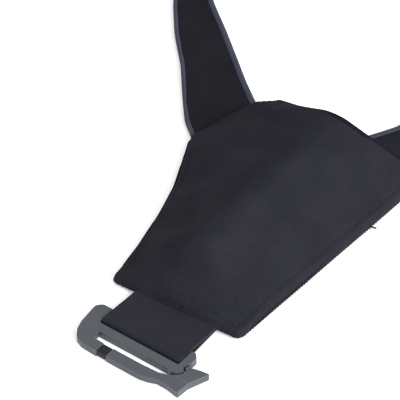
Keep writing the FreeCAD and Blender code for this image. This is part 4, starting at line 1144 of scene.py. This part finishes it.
    def bind_mouth(self) -> bpy.types.Object:
        """Sew a folded tape along the mouth's free edge.

        Returns:
            The tape.
        """
        path = self.mouth(140)
        inward = np.tile((-1.0, 0.0, 0.0), (len(path), 1))
        ups = unit(np.cross(tangents(path), inward) * -1.0)
        ups = np.where(ups[:, 2:3] < 0, -ups, ups)
        sides = unit(np.cross(ups, tangents(path)))
        shape = swept(path - ups * 0.3, sides, ups, 3.4, 2.2)
        return self.shop.piece("mouth_tape", shape,
                               Riding("harness", "binding", "dark_binding", ("mouth_binding",)))

    @staticmethod
    def laid_on(piece: bpy.types.Object, line: np.ndarray, rise: float) -> np.ndarray:
        """Put a plan line on the top of a cloth: each point takes its nearest vertex's height."""
        count = len(piece.data.vertices)
        flat = np.empty(count * 3)
        piece.data.vertices.foreach_get("co", flat)
        verts = flat.reshape(count, 3) / MM
        near = [int(((verts[:, :2] - point[:2]) ** 2).sum(axis=1).argmin()) for point in line]
        return np.concatenate([line[:, :2], (verts[near, 2] + rise)[:, None]], axis=1)

    def seams(self, cloth: bpy.types.Object) -> None:
        """Stitch the hem, and leave a loose thread end on the near edge.

        Args:
            cloth: the cloth that the stitches lie on.
        """
        inner = Outline(inset=self.seam_inset)
        ring = np.concatenate([inner.near(300)[::-1], inner.left(200)[1:], inner.far(400)[1:]])
        path = self.laid_on(cloth, softened([tuple(point) for point in ring], 700, 4), 0.05)
        shape = stitches(path, upward(path), 2.2, 0.9, 0.4)
        self.shop.piece("hem_stitches", shape, Riding("harness", "pouch_fabric", "thread"))
        end = softened([(25.4, -44.6, 3.0), (26.4, -46.2, 2.4), (27.4, -47.3, 1.7)], 12, 1)
        side = plan_normal(end)
        tail = swept(end, side, unit(np.cross(tangents(end), side)), 1.0, 0.9, 6, 1.0)
        self.shop.piece("thread_end", tail, Riding("harness", "pouch_fabric", "thread"))


# ---------------------------------------------------------------- padded parts


@dataclass
class Pad:
    """A flat padded part, from four plan lines, with a rounded rim and pressed channels below."""

    shop: Workshop
    name: str
    riding: Riding
    thickness: float
    fill: float
    channels: tuple[Fold, ...] = ()
    waviness: float = 0.0
    rim: float = 0.8

    def build(self, near: np.ndarray, far: np.ndarray, left: np.ndarray,
              right: np.ndarray) -> bpy.types.Object:
        """Make the pad.

        Args:
            near, far: plan lines from left to right.
            left, right: plan lines from bottom to top.
        Returns:
            The pad.
        """
        flat = patch(near, far, left, right)
        points = np.concatenate([flat, np.zeros(flat.shape[:2] + (1,))], axis=2)
        shape = spread_grid(points)
        bmesh.ops.solidify(shape, geom=shape.faces, thickness=-self.thickness * MM)
        rise = self.thickness * MM
        high = max(vert.co.z for vert in shape.verts)
        shift = rise - high if high < rise * 0.5 else 0.0
        for vert in shape.verts:
            vert.co.z = min(max(vert.co.z + shift, 0.0), rise)
            x, y = vert.co.x / MM, vert.co.y / MM
            pressed = sum(float(fold.lift(np.array(x), np.array(y))) for fold in self.channels)
            if vert.co.z < rise * 0.5:
                vert.co.z = max(vert.co.z + pressed * MM, 0.0)
            else:
                vert.co.z -= pressed * 0.35 * MM
                wave = math.sin(x * 0.21) * math.sin(y * 0.17 + 1.3)
                vert.co.z += wave * self.waviness * MM
        bmesh.ops.recalc_face_normals(shape, faces=shape.faces)
        piece = self.shop.piece(self.name, shape, self.riding)
        add_bevel(piece, self.rim, 3, 50.0)
        return piece


@dataclass
class Harness:
    """The cloth parts of the harness: panel, wing, shoulder strap, webbings and their seams."""

    shop: Workshop
    web: float = 1.3
    hook_width: float = 48.0
    strap_left: tuple[Point, ...] = ((30.4, 73.2), (41.0, 86.5), (56.4, 99.4), (82.4, 120.4),
                                     (104.2, 141.2), (126.0, 158.6), (139.4, 168.2))
    strap_right: tuple[Point, ...] = ((73.2, 62.6), (88.0, 81.0), (102.0, 96.8), (122.0, 119.6),
                                      (140.6, 142.0), (153.4, 154.6))
    belt_low: float = -50.0
    belt_high: float = -12.0
    belt_turn: float = 361.5
    yoke_x: float = 248.976
    leash_x: float = 200.0
    bend_centre: Point = (188.976, 119.123)
    bend_radius: float = 60.0
    shoulder_width: float = 20.0
    leash_width: float = 10.0

    def panel(self) -> None:
        """Padded back panel with two pressed channels underneath."""
        channels = (Fold((-70.0, -4.0), (74.0, -14.0), 1.8, 0.9),
                    Fold((-60.0, 22.0), (76.0, 26.0), 1.8, 0.9))
        riding = Riding("harness", "spacer_mesh", "", ("back_panel",))
        pad = Pad(self.shop, "back_pad", riding, 3.6, 0.5, channels)
        edge = Outline(inset=2.2)
        pad.build(edge.near(90), edge.far(90), edge.left(60), edge.right(60))

    def wing(self) -> None:
        """Spacer-mesh wing with a bound upper edge and stitches at its end."""
        near = along([(76.8, -48.1), (112.0, -50.0), (130.0, -50.0)], 50)
        far = softened([(78.4, -0.2), (88.0, -5.0), (97.0, -9.9), (106.0, -14.3), (116.0, -14.9),
                        (130.0, -14.3)], 50, 4)
        pad = Pad(self.shop, "wing_pad", Riding("harness", "spacer_mesh", "", ("belt_wing",)), 3.2, 0.5,
                  (Fold((84.0, -26.0), (128.0, -31.0), 1.6, 0.7),))
        pad.build(near, far, along([near[0], far[0]], 34), along([near[-1], far[-1]], 34))
        path = raised(far, 1.75)
        side = plan_normal(path)
        self.shop.piece("wing_tape", swept(path, side, upward(path), 4.0, 3.6),
                        Riding("harness", "binding", "", ("wing_binding",)))
        line = raised(along([(126.5, -14.0), (126.5, -48.5)], 40), 3.25)
        self.shop.piece("wing_stitches", stitches(line, upward(line)),
                        Riding("harness", "spacer_mesh", "pale_thread"))

    def strap(self) -> None:
        """Tapered shoulder strap with its two taped edges."""
        left = softened(list(self.strap_left), 90, 8)
        right = softened(list(self.strap_right), 90, 8)
        folds = (Fold((60.0, 88.0), (96.0, 118.0), 5.0, -0.5),
                 Fold((46.0, 80.0), (70.0, 96.0), 4.0, 0.4))
        # The strap's darker knit is painted shade on the pouch's fabric.
        riding = Riding("harness", "pouch_fabric", "strap_fabric", ("shoulder_strap",))
        pad = Pad(self.shop, "strap_pad", riding, 2.8, 0.4, folds, 0.25)
        pad.build(right[:, :2], left[:, :2], along([right[0], left[0]], 30), along([right[-1], left[-1]], 30))
        for name, line, node, finish, width in (
                ("strap_tape_left", left, "strap_binding_left", "binding", 2.6),
                ("strap_tape_right", right, "strap_binding_right", "binding", 3.8)):
            path = raised(line, 1.65)
            if node == "strap_binding_left":
                share = np.linspace(0.0, 1.0, len(path))
                path[:, 2] += 0.35 * np.sin(share * 19.0) * np.sin(share * math.pi)
            self.shop.piece(name, swept(path, plan_normal(path), upward(path), width, 3.3),
                            Riding("harness", "binding", finish, (node,)))

    def band(self, name: str, path: np.ndarray, side: Point, width: float, node: str,
             body: str = "harness") -> bpy.types.Object:
        """A webbing whose middle line is in one plane.

        Args:
            name: the piece's name.
            path: its middle line in millimetres.
            side: direction of its width.
            width: its width in millimetres.
            node: the CAD node that it stands for.
            body: the body it rides on.
        Returns:
            The webbing.
        """
        sides = np.tile(np.array(side, float), (len(path), 1))
        piece = self.shop.piece(name, ribbon(path, sides, width, 16), Riding(body, "webbing", "", (node,)))
        add_thickness(piece, self.web)
        add_bevel(piece, 0.35, 2, 60.0)
        return piece

    @staticmethod
    def wrapped(bar: Point, radius: float, meet: float, end: float, plies: Point) -> np.ndarray:
        """Side view of webbing wrapped round a bar and laid on itself.

        Args:
            bar: along and height of the bar's middle.
            radius: of the webbing's middle line round the bar.
            meet: where the two plies meet.
            end: where both plies end.
            plies: heights of the upper and the lower ply's middle lines.
        Returns:
            Points of along and height, in millimetres.
        """
        away = 1.0 if bar[0] > meet else -1.0
        lead = bar[0] - away * radius * 0.5
        arc = [(bar[0] + away * radius * math.sin(a), bar[1] + radius * math.cos(a))
               for a in np.linspace(0.0, math.pi, 24)]
        line = [(end, plies[0]), (meet, plies[0]), (lead, bar[1] + radius), *arc, (lead, bar[1] - radius),
                (meet, plies[1]), (end, plies[1])]
        return softened(line, 150, 3)

    @staticmethod
    def doubled(turn: float, height: float, long_end: float, short_end: float, count: int) -> np.ndarray:
        """Side view of webbing doubled back: a low run, a half turn, and a shorter high run."""
        away = 1.0 if turn > long_end else -1.0
        radius = (height - 1.3) / 2
        middle = height / 2
        arc = [(turn + away * radius * math.sin(a), middle - radius * math.cos(a))
               for a in np.linspace(0.0, math.pi, 20)]
        return along([(long_end, middle - radius), *arc, (short_end, middle + radius)], count)

    def webbings(self) -> None:
        """Hook webbing, belt, shoulder webbing, yoke tab and leash loop."""
        side = self.wrapped((-110.7, 2.7), 2.05, -86.0, -61.5, (2.95, 1.65))
        path = np.stack([side[:, 0], np.zeros(len(side)), side[:, 1]], axis=1)
        self.band("hook_webbing", path, (0.0, 1.0, 0.0), self.hook_width, "buckle_webbing")
        side = self.doubled(self.belt_turn, 7.0, 130.0, 276.5, 240)
        middle = np.full(len(side), (self.belt_low + self.belt_high) / 2)
        path = np.stack([side[:, 0], middle, side[:, 1]], axis=1)
        self.band("belt_band", path, (0.0, 1.0, 0.0), self.belt_high - self.belt_low, "belt_webbing")
        self.shoulder()
        side = self.wrapped((3.0, 3.5), 2.85, -10.0, -30.0, (5.25, 3.95))
        path = np.stack([np.full(len(side), self.yoke_x), side[:, 0], side[:, 1]], axis=1)
        self.band("yoke_loop", path, (1.0, 0.0, 0.0), self.shoulder_width, "yoke_tab")
        side = self.wrapped((-4.0, 2.9), 2.25, -11.0, -26.0, (3.25, 1.95))
        path = np.stack([np.full(len(side), self.leash_x), side[:, 0], side[:, 1]], axis=1)
        self.band("leash_tab", path, (1.0, 0.0, 0.0), self.leash_width, "leash_loop")

    def shoulder(self) -> None:
        """Shoulder webbing: a flat bend from the strap's tip, then down and doubled through its ring."""
        centre = np.array(self.bend_centre)
        angles = np.radians(np.linspace(135.0, 0.0, 90))
        rays = np.stack([np.cos(angles), np.sin(angles)], axis=1)
        bend = raised(centre + rays * self.bend_radius, self.web / 2)
        bend_sides = -np.concatenate([rays, np.zeros((len(rays), 1))], axis=1)
        side = self.doubled(13.0, 7.0, self.bend_centre[1], 93.0, 170)
        down = np.stack([np.full(len(side), self.yoke_x), side[:, 0], side[:, 1]], axis=1)
        down_sides = np.tile((-1.0, 0.0, 0.0), (len(down), 1))
        path = np.concatenate([bend[:-1], down])
        sides = np.concatenate([bend_sides[:-1], down_sides])
        piece = self.shop.piece("shoulder_band", ribbon(path, sides, self.shoulder_width, 10),
                                Riding("harness", "webbing", "", ("shoulder_webbing",)))
        add_thickness(piece, self.web)
        add_bevel(piece, 0.3, 2, 60.0)

    def yoke(self) -> None:
        """Stitched patch on the belt, under the tab that holds the shoulder webbing's ring."""
        shape = bmesh.new()
        x = self.yoke_x
        plan = [(x - 22, -48), (x + 22, -48), (x + 22, -40), (x + 13, -13), (x - 13, -13), (x - 22, -40)]
        face = shape.faces.new([shape.verts.new(mm(px, py, 1.3)) for px, py in plan])
        top = bmesh.ops.extrude_face_region(shape, geom=[face])
        lifted = [item for item in top["geom"] if isinstance(item, bmesh.types.BMVert)]
        bmesh.ops.translate(shape, verts=lifted, vec=mm(0, 0, 2.0))
        bmesh.ops.recalc_face_normals(shape, faces=shape.faces)
        cover = self.shop.piece("yoke_patch", shape, Riding("harness", "pouch_fabric", "", ("back_yoke",)))
        add_bevel(cover, 0.9, 4)
        inner = [(x - 20, -46), (x + 20, -46), (x + 20, -40.4), (x + 11.6, -15), (x - 11.6, -15),
                 (x - 20, -40.4), (x - 20, -46)]
        line = raised(along(inner, 200), 3.4)
        self.shop.piece("yoke_stitches", stitches(line, upward(line)),
                        Riding("harness", "pouch_fabric", "pale_thread"))

    def bar_tacks(self) -> None:
        """Dense rows of thread where webbings are sewn together."""
        rows = []
        for x, low, high, z in ((-78.5, -22.0, 22.0, 3.75), (134.0, -48.0, -14.0, 1.45),
                                (137.0, -48.0, -14.0, 1.45), (197.2, -24.5, -12.5, 4.0),
                                (202.8, -24.5, -12.5, 4.0)):
            rows.append(((x, low), (x, high), z))
        for y in (-28.0, -25.0, -14.0):
            rows.append(((240.5, y), (257.5, y), 6.0))
        for index, (start, end, z) in enumerate(rows):
            path = raised(along([start, end], 60), z)
            self.shop.piece(f"tack_row_{index + 1}", stitches(path, upward(path), 1.6, 0.5, 0.55),
                            Riding("harness", "webbing", "thread"))
        path = raised(along([(141.8, 165.6), (150.6, 156.8)], 40), 2.95)
        self.shop.piece("tip_stitches", stitches(path, upward(path), 1.6, 0.5, 0.55),
                        Riding("harness", "webbing", "thread"))

    def build(self) -> None:
        """Make every cloth part of the harness."""
        self.panel()
        self.wing()
        self.strap()
        self.webbings()
        self.yoke()
        self.bar_tacks()


# ---------------------------------------------------------------- hardware and transceiver


@dataclass
class Hardware:
    """Buckle, its gate and flexure, and the two adjusters, with moulded edges."""

    shop: Workshop

    def build(self) -> None:
        """Round the edges of each moulded or bent part."""
        for node, body, slot_name, radius in (
                ("buckle_frame", "buckle", "buckle_plastic", 0.5),
                ("gate_flexure", "buckle", "flexure", 0.25),
                ("buckle_gate", "gate", "buckle_plastic", 0.5),
                ("belt_adjuster", "belt_adjuster", "buckle_plastic", 0.3),
                ("strap_adjuster", "strap_adjuster", "buckle_plastic", 0.3)):
            self.shop.refined(node, Riding(body, slot_name), radius)


@dataclass
class Transceiver:
    """The transceiver: its case, display, keys and switch."""

    shop: Workshop
    lean: float = math.atan(17.0 / 34.0)
    face_start: Point = (-31.0, 8.9)

    def on_face(self, x: float, slope: float, rise: float) -> Vector:
        """A point on the sloping face, from its x, its distance up the slope and its rise off it."""
        y = self.face_start[0] + slope * math.cos(self.lean) - rise * math.sin(self.lean)
        z = self.face_start[1] + slope * math.sin(self.lean) + rise * math.cos(self.lean)
        return mm(x, y, z)

    def bar_on_face(self, shape: bmesh.types.BMesh, x: float, slope: float, size: Point, rise: float,
                    turn: float = 0.0) -> None:
        """Add a small flat bar on the face.

        Args:
            shape: the mesh it joins.
            x, slope: its middle on the face, in millimetres.
            size: length, width and height in millimetres.
            rise: height of its underside off the face.
            turn: its turn in the face's plane, in degrees.
        """
        centre = self.on_face(x, slope, rise + size[2] / 2)
        matrix = (Matrix.Translation(centre) @ Matrix.Rotation(self.lean, 4, "X")
                  @ Matrix.Rotation(math.radians(turn), 4, "Z") @ Matrix.Diagonal((*mm(*size), 1.0)))
        bmesh.ops.create_cube(shape, size=1.0, matrix=matrix)

    def symbols(self) -> None:
        """Display figures: a distance of two digits and three direction marks."""
        shape = bmesh.new()
        rise = -1.35
        places = {"a": (0, 5, 0), "g": (0, 0, 0), "d": (0, -5, 0), "b": (2.4, 2.5, 90),
                  "c": (2.4, -2.5, 90), "e": (-2.4, -2.5, 90), "f": (-2.4, 2.5, 90)}
        for left, segments in ((17.0, "abged"), (25.0, "fgbc")):
            for key in segments:
                x, slope, turn = places[key]
                self.bar_on_face(shape, left + x, 20.5 + slope, (4.2, 1.0, 0.15), rise, turn)
        for step in range(3):
            for side in (-1, 1):
                self.bar_on_face(shape, 38.5 + side * 2.0, 24.5 - step * 4.2, (5.2, 1.2, 0.15), rise,
                                 -side * 38.0)
        self.shop.piece("display_figures", shape, Riding("device", "display", "ink"), flat=True)

    def ribs(self) -> None:
        """Raised grip ribs on the case's side grips and ring marks round the keys."""
        shape = bmesh.new()
        for side, height in ((-1, 2.0), (1, 5.0)):
            for step in range(13):
                centre = mm(-36.0 + step * 6.0, side * 31.45, 4.9 + height / 2)
                size = Matrix.Diagonal((*mm(1.6, 0.5, height), 1.0))
                bmesh.ops.create_cube(shape, size=1.0, matrix=Matrix.Translation(centre) @ size)
        piece = self.shop.piece("grip_ribs", shape, Riding("device", "rubber"))
        add_bevel(piece, 0.2, 2)
        for key, slope, body in (("select", 14.0, "select_button"), ("search", 27.0, "search_button")):
            mark = bmesh.new()
            matrix = Matrix.Translation(self.on_face(0.0, slope, 1.28)) @ Matrix.Rotation(self.lean, 4, "X")
            bmesh.ops.create_circle(mark, segments=40, radius=2.4 * MM, matrix=matrix)
            rim = mark.edges[:]
            grown = bmesh.ops.extrude_edge_only(mark, edges=rim)
            ring = [item for item in grown["geom"] if isinstance(item, bmesh.types.BMVert)]
            bmesh.ops.scale(mark, vec=(0.72, 0.72, 0.72), space=matrix.inverted(), verts=ring)
            bmesh.ops.solidify(mark, geom=mark.faces, thickness=0.2 * MM)
            bmesh.ops.recalc_face_normals(mark, faces=mark.faces)
            self.shop.piece(f"{key}_mark", mark, Riding(body, "control", "print"))

    def build(self) -> None:
        """Finish the transceiver's outer parts."""
        for node, slot_name, radius in (
                ("case_front", "case_front", 1.2), ("case_back", "case_back", 0.8),
                ("battery_hatch", "case_back", 0.3),
                ("side_grip_near", "rubber", 0.15), ("side_grip_far", "rubber", 0.15),
                ("leash_lug", "steel", 0.3), ("display_window", "window", 0.25)):
            self.shop.refined(node, Riding("device", slot_name), radius, joined=not node.startswith("case_"))
        for node in ("select_button", "search_button", "mode_switch"):
            self.shop.refined(node, Riding(node, "control"), 0.5)
        self.symbols()
        self.ribs()


def dress_frame(finishes: Finishes) -> None:
    """Give every CAD node its slot's finish."""
    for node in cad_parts.values():
        for place in node.material_slots:
            place.material = finishes[place.material.name.split(".")[0]]


# ---------------------------------------------------------------- stage, light and camera


@dataclass
class Studio:
    """White floor, soft light all round, one large key light, and the camera."""

    finishes: Finishes
    camera_place: Point = (-0.59135, -0.38899, 0.63052)
    camera_turn: Point = (49.0, 0.0, -53.6)
    lens: float = 162.0
    world: float = 0.7

    def build(self) -> None:
        """Make the stage."""
        shape = bmesh.new()
        bmesh.ops.create_grid(shape, x_segments=1, y_segments=1, size=4.0,
                              matrix=Matrix.Translation((0.1, 0.05, -0.0003)))
        mesh = bpy.data.meshes.new("floor")
        shape.to_mesh(mesh)
        shape.free()
        floor = bpy.data.objects.new("floor", mesh)
        bpy.context.scene.collection.objects.link(floor)
        mesh.materials.append(self.finishes["floor"])
        world = bpy.data.worlds.new("Studio")
        world.use_nodes = True
        world.node_tree.nodes["Background"].inputs["Color"].default_value = (1.0, 1.0, 1.0, 1.0)
        world.node_tree.nodes["Background"].inputs["Strength"].default_value = self.world
        bpy.context.scene.world = world
        self.lamp("key_light", (-0.2, -1.35, 0.75), 1.0, 31.0)
        self.lamp("top_light", (-0.2, 0.1, 1.6), 1.2, 4.0)
        data = bpy.data.cameras.new("camera")
        data.lens = self.lens
        data.sensor_width = 36.0
        data.clip_start = 0.01
        camera = bpy.data.objects.new("camera", data)
        camera.location = self.camera_place
        camera.rotation_euler = [math.radians(angle) for angle in self.camera_turn]
        bpy.context.scene.collection.objects.link(camera)
        bpy.context.scene.camera = camera
        bpy.context.scene.view_settings.view_transform = "Standard"
        bpy.context.scene.view_settings.look = "None"

    @staticmethod
    def lamp(name: str, place: Point, size: float, power: float) -> None:
        """A square area light that faces the pouch.

        Args:
            name: its name.
            place: where it stands, in metres.
            size: its side, in metres.
            power: its power, in watts.
        """
        data = bpy.data.lights.new(name, "AREA")
        data.size = size
        data.energy = power
        lamp = bpy.data.objects.new(name, data)
        lamp.location = place
        aim = Vector((0.0, 0.02, 0.01)) - Vector(place)
        lamp.rotation_euler = aim.to_track_quat("-Z", "Y").to_euler()
        bpy.context.scene.collection.objects.link(lamp)


def main() -> None:
    """Build the harness and the transceiver, then the stage."""
    logging.basicConfig(level=logging.INFO, format="%(message)s")
    shop = Workshop()
    dress_frame(shop.finishes)
    pouch = Pouch(shop)
    cloth = pouch.build()
    pouch.bind_mouth()
    pouch.seams(cloth)
    Harness(shop).build()
    Hardware(shop).build()
    Transceiver(shop).build()
    Studio(shop.finishes).build()


if __name__ == "__main__":
    main()
